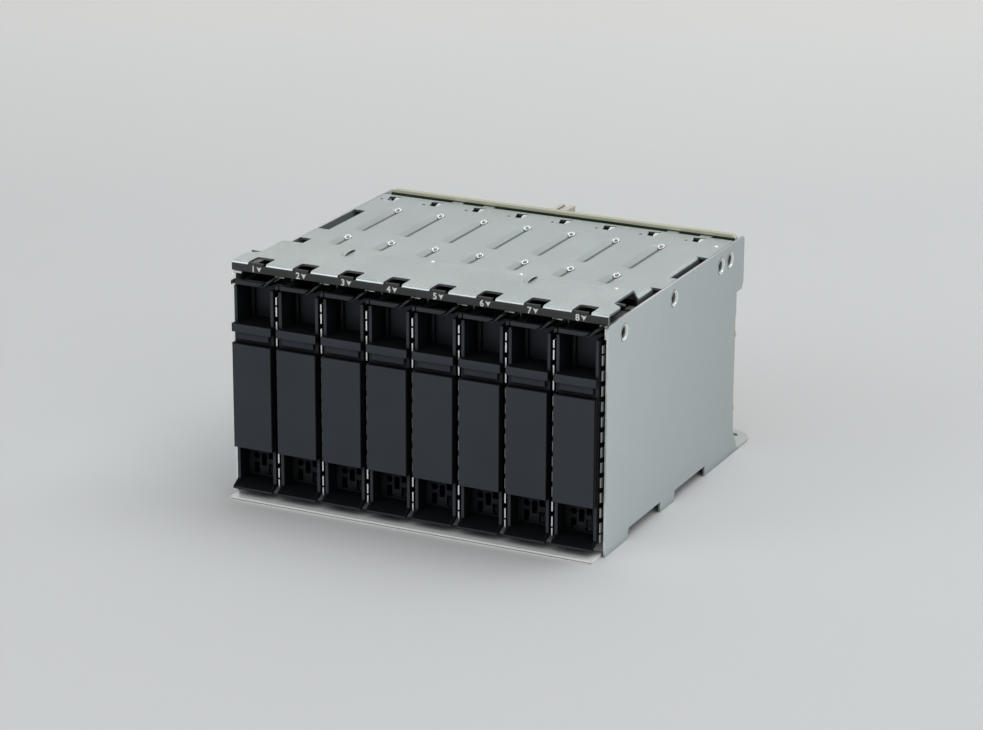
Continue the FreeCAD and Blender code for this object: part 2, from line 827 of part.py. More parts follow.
def face_section():
    """The moulded front wall of the blank, seen from the side, bottom lip to recess top."""
    band_bottom = panel_top + groove_height
    band_top = band_bottom + band_height
    ledge_top = band_top + ledge_height
    wall = blank_wall
    floor_in = blank_bottom + wall
    lip_top = blank_lip_bottom + blank_lip_height
    inside = panel_front + panel_thickness
    back = recess_back + wall
    band_back = rail_front + panel_thickness
    front = [(blank_lip_front, blank_lip_bottom), (blank_lip_front, lip_top), (lip_root, floor_in)]
    front += [(pull_back, floor_in), (pull_back, panel_bottom), (panel_front, panel_bottom)]
    front += [(panel_front, panel_top), (rail_front, panel_top), (rail_front, band_bottom)]
    front += [(band_front, band_bottom), (band_front, band_top), (ledge_front, band_top)]
    front += [(ledge_front, ledge_top), (recess_back, ledge_top), (recess_back, recess_top)]
    rear = [(back, recess_top), (back, ledge_top - wall), (band_back, ledge_top - wall)]
    rear += [(band_back, panel_top - wall), (inside, panel_top - wall)]
    pull_rear = pull_back + wall
    rear += [(inside, panel_bottom + wall), (pull_rear, panel_bottom + wall), (pull_rear, blank_bottom)]
    rear += [(lip_root, blank_bottom)]
    return front + rear


def rail_section():
    """One side wall of the blank, with the lip gusset and the pivot ear."""
    ear_top = pivot_z + pivot_ear_rise
    gusset_top = blank_bottom + blank_wall + gusset_height
    low_top = rail_top - rail_rear_drop
    points = [(blank_lip_front, blank_lip_bottom)]
    points += [(blank_lip_front, blank_lip_bottom + blank_lip_height), (rail_front, gusset_top)]
    points += [(rail_front, rail_top), (pivot_y - 2 * pivot_ear, rail_top), (pivot_y - pivot_ear, ear_top)]
    points += [(pivot_y + pivot_ear, ear_top), (pivot_y + 2 * pivot_ear, low_top)]
    points += [(blank_length, low_top), (blank_length, blank_bottom + skirt_chamfer)]
    points += [(blank_length - skirt_chamfer, blank_bottom), (lip_root, blank_bottom)]
    return points


def blank_vents():
    """Openings in the lower back wall: two pins and four slots."""
    start = pull_back - 1
    length = blank_wall + 2
    half = vent_slot_width / 2
    pins = [Vector(x, start, vent_row_top) for x in vent_columns_x[:2]]
    cuts = [rod(vent_pin, place, Vector(0, 1, 0), length) for place in pins]
    for x, low, high in vent_slots:
        cuts.append(box(x - half, x + half, start, start + length, low, high))
    return joined(cuts)


def filler_blank():
    half = blank_width / 2
    inner = half - blank_wall
    face = side_profile(face_section(), -half, half)
    band_bottom = panel_top + groove_height
    band_top = band_bottom + band_height
    shoulder = box(band_width / 2, half + 1, band_front - 1, rail_front, band_bottom, band_top)
    face = face.cut(compound(both_sides(shoulder)))
    rails = both_sides(side_profile(rail_section(), inner, half))
    rib_left = inner_rib_x - inner_rib_width / 2
    rib_top = recess_top - inner_rib_drop
    ledge_top = band_top + ledge_height
    rib_front = recess_back - inner_rib_depth
    rib = box(rib_left, rib_left + inner_rib_width, rib_front, recess_back, ledge_top, rib_top)
    shape = joined([face, rib] + rails)
    bore_start = Vector(-half, pivot_y, pivot_z)
    bores = rod(pivot_radius + pivot_clearance, bore_start, Vector(1, 0, 0), blank_width)
    cuts = [blank_vents(), bores]
    shape = shape.cut(compound(cuts))
    outer_edges = edges_where(shape, is_panel_edge)
    return shape.makeFillet(blank_edge_round, outer_edges)


def is_panel_edge(edge):
    """The two long upright edges of the front panel, and its top and bottom front edges."""
    ends = edge.BoundBox
    on_front = abs(ends.YMin - panel_front) < 1e-4 and abs(ends.YMax - panel_front) < 1e-4
    return on_front and max(ends.ZMax - ends.ZMin, ends.XMax - ends.XMin) > blank_width / 2


def blank_latch():
    """A sprung arm on two trunnions, with the grip bar at the front and a hook finger beside it."""
    half = blank_width / 2
    reach = half - blank_wall - latch_side_gap
    across = Vector(1, 0, 0)
    arm_top = arm_bottom + arm_thickness
    arm = box(-reach, reach, bar_rear - latch_side_gap, pivot_y, arm_bottom, arm_top)
    barrel = rod(barrel_radius, Vector(-reach, pivot_y, pivot_z), across, 2 * reach)
    trunnion_end = half - pivot_end_gap
    pin = rod(pivot_radius, Vector(-trunnion_end, pivot_y, pivot_z), across, 2 * trunnion_end)
    grip = grip_bar(half)
    relief_front, relief_rear = arm_relief_span
    relief = box(-half, half, relief_front, relief_rear, arm_bottom, arm_bottom + arm_relief)
    window_front, window_rear = arm_window_span
    side = reach - arm_window_side
    window = box(-side, side, window_front, window_rear, arm_bottom, arm_top)
    arm = arm.cut(joined([relief, window]))
    return joined([arm, barrel, pin, grip])


def leaning(left, right, low, high, y0, y1):
    """A bar that leans to the right as it rises; left and right are at its foot."""
    lean = (high - low) / finger_slope
    points = [(left, low), (right, low), (right + lean, high), (left + lean, high)]
    return front_profile(points, y0, y1)


def grip_bar(half):
    """The ridge at the front of the arm, its grooved end cap, and the finger that leans past its end."""
    low = bar_bottom
    high = bar_bottom + bar_height
    tip = half + finger_overhang
    foot = tip - (finger_top - low) / finger_slope
    finger = leaning(foot - finger_width, foot, low, finger_top, finger_front, finger_rear)
    bar = box(-half, foot, bar_front, bar_rear, low, high)
    left_edges = edges_where(bar, is_bar_end)
    bar = bar.makeFillet(bar_end_round, left_edges)
    slit_right = foot - finger_width
    slit = leaning(slit_right - finger_slot, slit_right, low, high, bar_front, bar_front + bar_groove_depth)
    past = leaning(foot, foot + 4, low, high, bar_front, bar_rear)
    groove_left = bar_cap - half
    groove = box(groove_left, groove_left + bar_groove, bar_front, bar_front + bar_groove_depth, low, high)
    return joined([bar.cut(compound([slit, past, groove])), finger])


def is_bar_end(edge):
    ends = edge.BoundBox
    at_end = abs(ends.XMin + blank_width / 2) < 1e-4 and abs(ends.XMax + blank_width / 2) < 1e-4
    return at_end and ends.YMax - ends.YMin > 0.5


# ---- write the pieces ----

def save(shape, name):
    placed = shape.copy()
    placed.translate(Vector(0, -origin_y, 0))
    placed.exportStep(os.path.join("parts", name + ".step"))
    print(name, len(placed.Solids), round(placed.Volume, 2), placed.isValid())


def mirrored(shape):
    return shape.mirror(Vector(0, 0, 0), Vector(1, 0, 0))


def main():
    os.makedirs("parts", exist_ok=True)
    wall = side_wall_right()
    liner = liner_right()
    save(wall, "side_wall_right")
    save(mirrored(wall), "side_wall_left")
    save(liner, "liner_right")
    save(mirrored(liner), "liner_left")
    save(top_cover(), "top_cover")
    save(floor_plate(), "floor_plate")
    save(label_strip(), "label_strip")
    save(cover_rivets(), "cover_rivets")
    save(floor_rivets(), "floor_rivets")
    for index in range(1, bay_count):
        save(divider(bay_edge(index)), "divider_%d" % index)
    save(backplane_board(), "backplane_board")
    save(power_connector(), "power_connector")
    save(backplane_screws(), "backplane_screws")
    for name, x, drop in zip(("upper", "lower"), data_x, data_drop):
        save(data_connector(x, data_top - drop), "data_connector_" + name)
    blank = filler_blank()
    latch = blank_latch()
    for index in range(bay_count):
        shift = Vector(bay_centre(index), 0, 0)
        save(drive_socket(bay_centre(index)), "drive_socket_%d" % (index + 1))
        save(blank.translated(shift), "blank_%d" % (index + 1))
        save(latch.translated(shift), "blank_latch_%d" % (index + 1))


main()
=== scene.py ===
# Hot swap drive cage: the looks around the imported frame.
import math

import bmesh
import bpy
from mathutils import Matrix, Vector


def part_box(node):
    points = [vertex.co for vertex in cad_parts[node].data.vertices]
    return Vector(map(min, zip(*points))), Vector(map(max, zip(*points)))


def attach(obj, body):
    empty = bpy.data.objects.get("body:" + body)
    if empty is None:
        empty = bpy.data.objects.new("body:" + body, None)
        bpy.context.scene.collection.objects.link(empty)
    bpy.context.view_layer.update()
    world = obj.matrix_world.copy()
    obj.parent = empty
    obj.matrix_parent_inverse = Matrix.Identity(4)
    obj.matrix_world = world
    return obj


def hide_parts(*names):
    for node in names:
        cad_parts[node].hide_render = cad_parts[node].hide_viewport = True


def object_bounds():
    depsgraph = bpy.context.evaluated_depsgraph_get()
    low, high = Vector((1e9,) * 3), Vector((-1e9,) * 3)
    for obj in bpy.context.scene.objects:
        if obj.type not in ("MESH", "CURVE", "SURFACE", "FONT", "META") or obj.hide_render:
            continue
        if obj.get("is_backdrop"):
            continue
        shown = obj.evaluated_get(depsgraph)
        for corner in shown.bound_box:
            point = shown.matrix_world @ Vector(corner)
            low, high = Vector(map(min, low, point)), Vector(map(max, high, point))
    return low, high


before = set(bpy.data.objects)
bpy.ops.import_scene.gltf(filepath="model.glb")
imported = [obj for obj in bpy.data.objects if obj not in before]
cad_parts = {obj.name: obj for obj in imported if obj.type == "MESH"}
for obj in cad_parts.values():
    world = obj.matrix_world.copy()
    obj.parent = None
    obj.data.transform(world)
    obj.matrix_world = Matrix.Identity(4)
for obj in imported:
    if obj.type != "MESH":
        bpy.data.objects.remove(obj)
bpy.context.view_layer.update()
mm = 0.001
scene = bpy.context.scene

# heights and places that several pieces share, read from the frame
coverLow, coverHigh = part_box("top_cover")
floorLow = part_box("floor_plate")[0]
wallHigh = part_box("side_wall_right")[1]
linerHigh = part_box("liner_right")[1]
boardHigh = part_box("backplane_board")[1]
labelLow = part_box("label_strip")[0]
frontY = coverLow.y  # front face of the cover
deckTop = wallHigh.z
stripTop = coverHigh.z
innerHalf = linerHigh.x  # inner face of a side wall
outerHalf = wallHigh.x
sheet = outerHalf - innerHalf
bayNumbers = []
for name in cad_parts:
    if name.startswith("blank_") and "latch" not in name:
        bayNumbers.append(int(name.split("_")[1]))
bayNumbers.sort()
bayCentres = []
for bay in bayNumbers:
    low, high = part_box(f"drive_socket_{bay}")
    bayCentres.append((low.x + high.x) / 2)
bayPitch = bayCentres[1] - bayCentres[0]
bayEdges = [x + bayPitch / 2 for x in bayCentres[:-1]]


# camera, lamps and world

camera = {"place": (0.47737, -0.99412, 0.40535), "yaw": 0.4498, "pitch": 0.3217, "roll": 0.0045,
          "lens": 120.5}


def placeCamera(values):
    yaw, pitch, roll = values["yaw"], values["pitch"], values["roll"]
    ahead = Vector((-math.sin(yaw) * math.cos(pitch), math.cos(yaw) * math.cos(pitch), -math.sin(pitch)))
    right = Vector((math.cos(yaw), math.sin(yaw), 0))
    up = right.cross(ahead)
    rolledRight = right * math.cos(roll) + up * math.sin(roll)
    rolledUp = up * math.cos(roll) - right * math.sin(roll)
    data = bpy.data.cameras.new("camera")
    data.lens = values["lens"]
    data.sensor_width = 36
    data.clip_start = 0.05
    data.clip_end = 30
    obj = bpy.data.objects.new("camera", data)
    scene.collection.objects.link(obj)
    turn = Matrix((rolledRight, rolledUp, -ahead)).transposed()
    obj.matrix_world = Matrix.Translation(Vector(values["place"])) @ turn.to_4x4()
    scene.camera = obj


lamps = {
    "overhead": {"place": (0.35, 0.60, 1.5), "aim": (0, 0, 0), "size": 1.5, "power": 17},
    "frontRight": {"place": (1.4, -0.8, 0.8), "aim": (0, 0, 0.04), "size": 1.1, "power": 3.5},
    "frontLeft": {"place": (-1.1, -1.4, 0.8), "aim": (0, 0, 0.04), "size": 1.2, "power": 7.5},
}


def placeLamps(values):
    for name, lamp in values.items():
        data = bpy.data.lights.new(name, "AREA")
        data.shape = "DISK"
        data.size = lamp["size"]
        data.energy = lamp["power"]
        obj = bpy.data.objects.new(name, data)
        scene.collection.objects.link(obj)
        obj.location = lamp["place"]
        aim = Vector(lamp["aim"]) - obj.location
        obj.rotation_mode = "QUATERNION"
        obj.rotation_quaternion = aim.to_track_quat("-Z", "Y")


def lightWorld(strength, color):
    world = bpy.data.worlds.new("studio")
    scene.world = world
    world.use_nodes = True
    background = world.node_tree.nodes["Background"]
    background.inputs["Color"].default_value = (*color, 1)
    background.inputs["Strength"].default_value = strength


scene.view_settings.view_transform = "Standard"
placeCamera(camera)
placeLamps(lamps)
lightWorld(0.6, (1, 1, 1))
print("camera and lamps placed")


# node groups that several finishes share

def newGroup(name, inputs, outputs):
    tree = bpy.data.node_groups.new(name, "ShaderNodeTree")
    for label, kind, value in inputs:
        socket = tree.interface.new_socket(label, in_out="INPUT", socket_type=kind)
        if value is not None:
            socket.default_value = value
    for label, kind in outputs:
        tree.interface.new_socket(label, in_out="OUTPUT", socket_type=kind)
    return tree, tree.nodes.new("NodeGroupInput"), tree.nodes.new("NodeGroupOutput")


def mathNode(tree, operation, first, second=None, clamp=False):
    node = tree.nodes.new("ShaderNodeMath")
    node.operation = operation
    node.use_clamp = clamp
    for index, value in enumerate((first, second)):
        if value is None:
            continue
        if isinstance(value, (int, float)):
            node.inputs[index].default_value = value
        else:
            tree.links.new(value, node.inputs[index])
    return node.outputs[0]


def noiseNode(tree, vector, scale, detail=3, roughness=0.5):
    node = tree.nodes.new("ShaderNodeTexNoise")
    node.inputs["Detail"].default_value = detail
    node.inputs["Roughness"].default_value = roughness
    tree.links.new(vector, node.inputs["Vector"])
    if isinstance(scale, (int, float)):
        node.inputs["Scale"].default_value = scale
    else:
        tree.links.new(scale, node.inputs["Scale"])
    return node.outputs["Fac"]


def mixColor(tree, factor, first, second):
    node = tree.nodes.new("ShaderNodeMix")
    node.data_type = "RGBA"
    if isinstance(factor, (int, float)):
        node.inputs["Factor"].default_value = factor
    else:
        tree.links.new(factor, node.inputs["Factor"])
    for label, value in (("A", first), ("B", second)):
        socket = [s for s in node.inputs if s.name == label and s.type == "RGBA"][0]
        if isinstance(value, tuple):
            socket.default_value = (*value, 1)
        else:
            tree.links.new(value, socket)
    return [s for s in node.outputs if s.type == "RGBA"][0]


def mottleGroup():
    # broad cloudiness with a finer fleck over it, both about the middle value
    inputs = [("Vector", "NodeSocketVector", None), ("Broad", "NodeSocketFloat", 30.0)]
    inputs += [("Fine", "NodeSocketFloat", 900.0), ("Fleck", "NodeSocketFloat", 0.4)]
    tree, start, end = newGroup("mottle", inputs, [("Value", "NodeSocketFloat")])
    broad = noiseNode(tree, start.outputs["Vector"], start.outputs["Broad"], 4, 0.55)
    fine = noiseNode(tree, start.outputs["Vector"], start.outputs["Fine"], 2, 0.6)
    centred = mathNode(tree, "SUBTRACT", fine, 0.5)
    fleck = mathNode(tree, "MULTIPLY", centred, start.outputs["Fleck"])
    spread = mathNode(tree, "MULTIPLY_ADD", broad, 1.6)
    spread.node.inputs[2].default_value = -0.3
    total = mathNode(tree, "ADD", spread, fleck, clamp=True)
    tree.links.new(total, end.inputs["Value"])
    return tree


def edgeGroup():
    # a rounded shading normal, and a mask of the edges it turns over
    inputs = [("Radius", "NodeSocketFloat", 0.0002), ("Gain", "NodeSocketFloat", 8.0)]
    outputs = [("Mask", "NodeSocketFloat"), ("Normal", "NodeSocketVector")]
    tree, start, end = newGroup("edgeTurn", inputs, outputs)
    bevel = tree.nodes.new("ShaderNodeBevel")
    bevel.samples = 4
    tree.links.new(start.outputs["Radius"], bevel.inputs["Radius"])
    geometry = tree.nodes.new("ShaderNodeNewGeometry")
    dot = tree.nodes.new("ShaderNodeVectorMath")
    dot.operation = "DOT_PRODUCT"
    tree.links.new(bevel.outputs["Normal"], dot.inputs[0])
    tree.links.new(geometry.outputs["Normal"], dot.inputs[1])
    turned = mathNode(tree, "SUBTRACT", 1.0, dot.outputs["Value"])
    mask = mathNode(tree, "MULTIPLY", turned, start.outputs["Gain"], clamp=True)
    tree.links.new(mask, end.inputs["Mask"])
    tree.links.new(bevel.outputs["Normal"], end.inputs["Normal"])
    return tree


def grainGroup():
    # fine surface grain as a bump over whatever normal comes in
    inputs = [("Vector", "NodeSocketVector", None), ("Normal", "NodeSocketVector", None)]
    inputs += [("Scale", "NodeSocketFloat", 2500.0), ("Strength", "NodeSocketFloat", 0.15)]
    inputs += [("Distance", "NodeSocketFloat", 0.00005)]
    tree, start, end = newGroup("surfaceGrain", inputs, [("Normal", "NodeSocketVector")])
    height = noiseNode(tree, start.outputs["Vector"], start.outputs["Scale"], 2, 0.6)
    bump = tree.nodes.new("ShaderNodeBump")
    tree.links.new(start.outputs["Distance"], bump.inputs["Distance"])
    tree.links.new(start.outputs["Strength"], bump.inputs["Strength"])
    tree.links.new(height, bump.inputs["Height"])
    tree.links.new(start.outputs["Normal"], bump.inputs["Normal"])
    tree.links.new(bump.outputs["Normal"], end.inputs["Normal"])
    return tree


def faceGroup():
    # one where the surface faces along an axis of the piece, either way, and nothing on its cut edges
    inputs = [("Axis", "NodeSocketVector", None)]
    tree, start, end = newGroup("sheetFace", inputs, [("Mask", "NodeSocketFloat")])
    coords = tree.nodes.new("ShaderNodeTexCoord")
    dot = tree.nodes.new("ShaderNodeVectorMath")
    dot.operation = "DOT_PRODUCT"
    tree.links.new(coords.outputs["Normal"], dot.inputs[0])
    tree.links.new(start.outputs["Axis"], dot.inputs[1])
    along = mathNode(tree, "ABSOLUTE", dot.outputs["Value"])
    mask = mathNode(tree, "MULTIPLY_ADD", along, 5.0, clamp=True)
    mask.node.inputs[2].default_value = -2.5
    tree.links.new(mask, end.inputs["Mask"])
    return tree


def shelterGroup():
    # painted shade: one deep in a hollow or a narrow gap, and nothing on open faces
    inputs = [("Reach", "NodeSocketFloat", 0.005), ("Open", "NodeSocketFloat", 0.85)]
    inputs += [("Gain", "NodeSocketFloat", 1.5)]
    tree, start, end = newGroup("shelter", inputs, [("Mask", "NodeSocketFloat")])
    clear = tree.nodes.new("ShaderNodeAmbientOcclusion")
    clear.samples = 6
    tree.links.new(start.outputs["Reach"], clear.inputs["Distance"])
    hidden = mathNode(tree, "SUBTRACT", start.outputs["Open"], clear.outputs["AO"])
    mask = mathNode(tree, "MULTIPLY", hidden, start.outputs["Gain"], clamp=True)
    tree.links.new(mask, end.inputs["Mask"])
    return tree


def upGroup():
    # painted shade: one where the surface looks up or to the right, fading out over a slope
    tree, start, end = newGroup("upward", [], [("Mask", "NodeSocketFloat")])
    coords = tree.nodes.new("ShaderNodeTexCoord")
    parts = tree.nodes.new("ShaderNodeSeparateXYZ")
    tree.links.new(coords.outputs["Normal"], parts.inputs[0])
    most = mathNode(tree, "MAXIMUM", parts.outputs["Z"], parts.outputs["X"])
    mask = mathNode(tree, "MULTIPLY_ADD", most, 2.5, clamp=True)
    mask.node.inputs[2].default_value = -0.5
    tree.links.new(mask, end.inputs["Mask"])
    return tree


mottleTree = mottleGroup()
edgeTree = edgeGroup()
grainTree = grainGroup()
faceTree = faceGroup()
paintedShadeTree = shelterGroup()
upwardShadeTree = upGroup()


def useGroup(tree, group, **values):
    node = tree.nodes.new("ShaderNodeGroup")
    node.node_tree = group
    for label, value in values.items():
        if isinstance(value, (int, float, tuple)):
            node.inputs[label].default_value = value
        else:
            tree.links.new(value, node.inputs[label])
    return node


def startMaterial(name):
    material = bpy.data.materials.new(name)
    material.use_nodes = True
    tree = material.node_tree
    coords = tree.nodes.new("ShaderNodeTexCoord")
    return material, tree, tree.nodes["Principled BSDF"], coords.outputs["Object"]


def rangeOf(tree, value, low, high):
    node = tree.nodes.new("ShaderNodeMapRange")
    node.inputs["To Min"].default_value = low
    node.inputs["To Max"].default_value = high
    tree.links.new(value, node.inputs["Value"])
    return node.outputs["Result"]


# zinc-plated sheet, brighter where it faces off its own plane: partly the sheared edges' own tone, partly
# painted highlight

zincFinishes = {
    "coverZinc": {"dark": (0.545, 0.605, 0.61), "light": (0.655, 0.715, 0.71), "edge": (0.86, 0.88, 0.87),
                  "broad": 40.0, "fine": 1100.0, "fleck": 3.0, "rough": (0.30, 0.46), "axis": None,
                  "rear": 1.0, "shadeFade": (0.0, 110 * mm), "metal": 0.85},
    "wallZinc": {"dark": (0.575, 0.635, 0.645), "light": (0.63, 0.69, 0.695), "edge": (0.88, 0.90, 0.90),
                 "broad": 24.0, "fine": 1100.0, "fleck": 1.8, "rough": (0.34, 0.44), "axis": (1.0, 0.0, 0.0),
                 "rear": 0.80, "shadeFade": (0.0, 110 * mm), "metal": 0.85},
    # the web finish is the zinc painted much darker as painted shade, near black behind its front teeth as
    # painted shade
    "webZinc": {"dark": (0.30, 0.335, 0.345), "light": (0.40, 0.44, 0.445), "edge": (0.92, 0.93, 0.92),
                "broad": 20.0, "fine": 800.0, "fleck": 0.8, "rough": (0.36, 0.48), "axis": (1.0, 0.0, 0.0),
                "rear": 0.12, "shadeFade": (2.5 * mm, 6 * mm), "metal": 0.85},
    # the floor finish is painted paler than the other zinc as painted light, and darker towards the rear
    # under the blanks as painted shade
    "floorZinc": {"dark": (0.80, 0.85, 0.84), "light": (0.88, 0.92, 0.91), "edge": (0.93, 0.95, 0.94),
                  "broad": 20.0, "fine": 800.0, "fleck": 0.6, "rough": (0.28, 0.40), "axis": (0.0, 0.0, 1.0),
                  "rear": 0.5, "shadeFade": (3 * mm, 20 * mm), "metal": 0.25},
}

# painted highlight on rounded edges and bends, and painted shade in folds and gaps
zincEdgeLightAndShade = {"edge": 0.55, "reach": 6 * mm, "open": 0.62, "gain": 2.2, "tint": 0.16}


def zincMaterial(name):
    values = zincFinishes[name]
    material, tree, shader, place = startMaterial(name)
    mottle = useGroup(tree, mottleTree, Vector=place, Broad=values["broad"], Fine=values["fine"],
                      Fleck=values["fleck"])
    edge = useGroup(tree, edgeTree, Radius=0.18 * mm, Gain=6.0)
    color = mixColor(tree, mottle.outputs["Value"], values["dark"], values["light"])
    if values["axis"]:
        face = useGroup(tree, faceTree, Axis=values["axis"])
        # paler off the sheet's plane: the sheared edge's own tone and painted highlight
        color = mixColor(tree, face.outputs["Mask"], values["edge"], color)
    else:
        color = pressedColor(tree, color, values)
    # painted shade: the colour darkens towards the rear, to 'rear' times the dark tone
    depth = alongDepth(tree, place, values["shadeFade"])
    color = mixColor(tree, depth, color, tuple(v * values["rear"] for v in values["dark"]))
    # painted highlight: paler where a rounded edge turns
    edgeHighlight = mathNode(tree, "MULTIPLY", edge.outputs["Mask"], zincEdgeLightAndShade["edge"])
    color = mixColor(tree, edgeHighlight, color, values["edge"])
    # painted shade: darker deep in folds, hollows and narrow gaps
    shelter = useGroup(tree, paintedShadeTree, Reach=zincEdgeLightAndShade["reach"], Open=zincEdgeLightAndShade["open"],
                       Gain=zincEdgeLightAndShade["gain"])
    shade = tuple(v * zincEdgeLightAndShade["tint"] for v in values["dark"])
    color = mixColor(tree, shelter.outputs["Mask"], color, shade)
    tree.links.new(color, shader.inputs["Base Color"])
    tree.links.new(rangeOf(tree, mottle.outputs["Value"], *values["rough"]), shader.inputs["Roughness"])
    shader.inputs["Metallic"].default_value = values["metal"]
    wave = useGroup(tree, grainTree, Vector=place, Normal=edge.outputs["Normal"], Scale=70.0, Strength=0.5,
                    Distance=0.5 * mm)
    grain = useGroup(tree, grainTree, Vector=place, Normal=wave.outputs["Normal"], Scale=1600.0,
                     Strength=0.12)
    tree.links.new(grain.outputs["Normal"], shader.inputs["Normal"])
    return material


def alongDepth(tree, place, shadeFade):
    # painted shade: nothing at the front of the cage, rising over this stretch of its depth
    parts = tree.nodes.new("ShaderNodeSeparateXYZ")
    tree.links.new(place, parts.inputs[0])
    node = tree.nodes.new("ShaderNodeMapRange")
    node.inputs["From Min"].default_value = frontY + shadeFade[0]
    node.inputs["From Max"].default_value = frontY + shadeFade[1]
    node.inputs["To Max"].default_value = 0.85
    tree.links.new(parts.outputs["Y"], node.inputs["Value"])
    return node.outputs["Result"]


def pressedColor(tree, color, values):
    # painted shade on the left flank and in the crease of each pressed trough, and painted highlight on the
    # right flank
    press = tree.nodes.new("ShaderNodeAttribute")
    press.attribute_name = "press"
    flankShade = mathNode(tree, "MULTIPLY", press.outputs["Fac"], 0.85, clamp=True)
    color = mixColor(tree, flankShade, color, tuple(v * 0.42 for v in values["dark"]))
    flankHighlight = mathNode(tree, "MULTIPLY", press.outputs["Fac"], -0.6, clamp=True)
    return mixColor(tree, flankHighlight, color, values["edge"])


# moulded plastics: a satin charcoal with a fine spark-eroded grain, painted highlight on the corners, and
# painted shade on faces that look up or to the right and in hollows

plasticFinishes = {
    "blankPlastic": {"dark": (0.0370, 0.0430, 0.0510), "light": (0.0440, 0.0510, 0.0605),
                     "rough": (0.40, 0.50), "gloss": 0.05, "shelter": 9 * mm, "open": 0.80, "upper": 0.14,
                     "edge": (0.075, 0.084, 0.095), "edgeHighlight": 0.6, "bevel": 0.00022,
                     "grain": 0.35, "scale": 2600.0},
    "latchPlastic": {"dark": (0.0330, 0.0380, 0.0440), "light": (0.0400, 0.0455, 0.0520),
                     "rough": (0.28, 0.38), "gloss": 0.06, "shelter": 6 * mm, "open": 0.86, "upper": 0.10,
                     "edge": (0.070, 0.078, 0.088), "edgeHighlight": 0.7, "bevel": 0.00020,
                     "grain": 0.25, "scale": 2600.0},
    "labelFilm": {"dark": (0.031, 0.034, 0.035), "light": (0.039, 0.042, 0.043), "rough": (0.42, 0.52),
                  "gloss": 0.35, "shelter": 1 * mm, "open": 0.6, "upper": 0.7,
                  "edge": (0.05, 0.05, 0.05), "edgeHighlight": 0.5, "bevel": 0.00008, "grain": 0.12, "scale": 3500.0},
    "socketBlack": {"dark": (0.009, 0.009, 0.010), "light": (0.014, 0.014, 0.015), "rough": (0.35, 0.48),
                    "gloss": 0.4, "shelter": 2 * mm, "open": 0.7, "upper": 0.9,
                    "edge": (0.03, 0.03, 0.032), "edgeHighlight": 0.4, "bevel": 0.00012,
                    "grain": 0.2, "scale": 3000.0},
    "housingGrey": {"dark": (0.56, 0.54, 0.48), "light": (0.66, 0.64, 0.58), "rough": (0.38, 0.50),
                    "gloss": 0.4, "shelter": 2 * mm, "open": 0.7, "upper": 0.9,
                    "edge": (0.60, 0.58, 0.53), "edgeHighlight": 0.6, "bevel": 0.00015, "grain": 0.2, "scale": 3000.0},
}


def plasticMaterial(name):
    values = plasticFinishes[name]
    material, tree, shader, place = startMaterial(name)
    mottle = useGroup(tree, mottleTree, Vector=place, Broad=38.0, Fine=1500.0, Fleck=0.3)
    edge = useGroup(tree, edgeTree, Radius=values["bevel"], Gain=5.0)
    color = mixColor(tree, mottle.outputs["Value"], values["dark"], values["light"])
    # painted highlight: paler where a rounded corner turns
    edgeHighlight = mathNode(tree, "MULTIPLY", edge.outputs["Mask"], values["edgeHighlight"])
    color = mixColor(tree, edgeHighlight, color, values["edge"])
    # painted shade: darker on faces that look up or to the right
    upward = useGroup(tree, upwardShadeTree)
    color = mixColor(tree, upward.outputs["Mask"], color, tuple(v * values["upper"] for v in values["dark"]))
    # painted shade: near black deep in hollows and narrow gaps
    shelter = useGroup(tree, paintedShadeTree, Reach=values["shelter"], Open=values["open"], Gain=3.5)
    color = mixColor(tree, shelter.outputs["Mask"], color, tuple(v * 0.10 for v in values["dark"]))
    tree.links.new(color, shader.inputs["Base Color"])
    tree.links.new(rangeOf(tree, mottle.outputs["Value"], *values["rough"]), shader.inputs["Roughness"])
    shader.inputs["Specular IOR Level"].default_value = values["gloss"]
    grain = useGroup(tree, grainTree, Vector=place, Normal=edge.outputs["Normal"],
                     Scale=values["scale"], Strength=values["grain"])
    tree.links.new(grain.outputs["Normal"], shader.inputs["Normal"])
    return material


# circuit board: dark green mask on the two faces, pale glass laminate on the cut edges

boardFinish = {"mask": (0.010, 0.026, 0.014), "maskLight": (0.020, 0.045, 0.022), "core": (0.50, 0.50, 0.40),
               "coreDark": (0.40, 0.40, 0.30), "track": (0.05, 0.085, 0.035), "bareBand": 1.05 * mm}


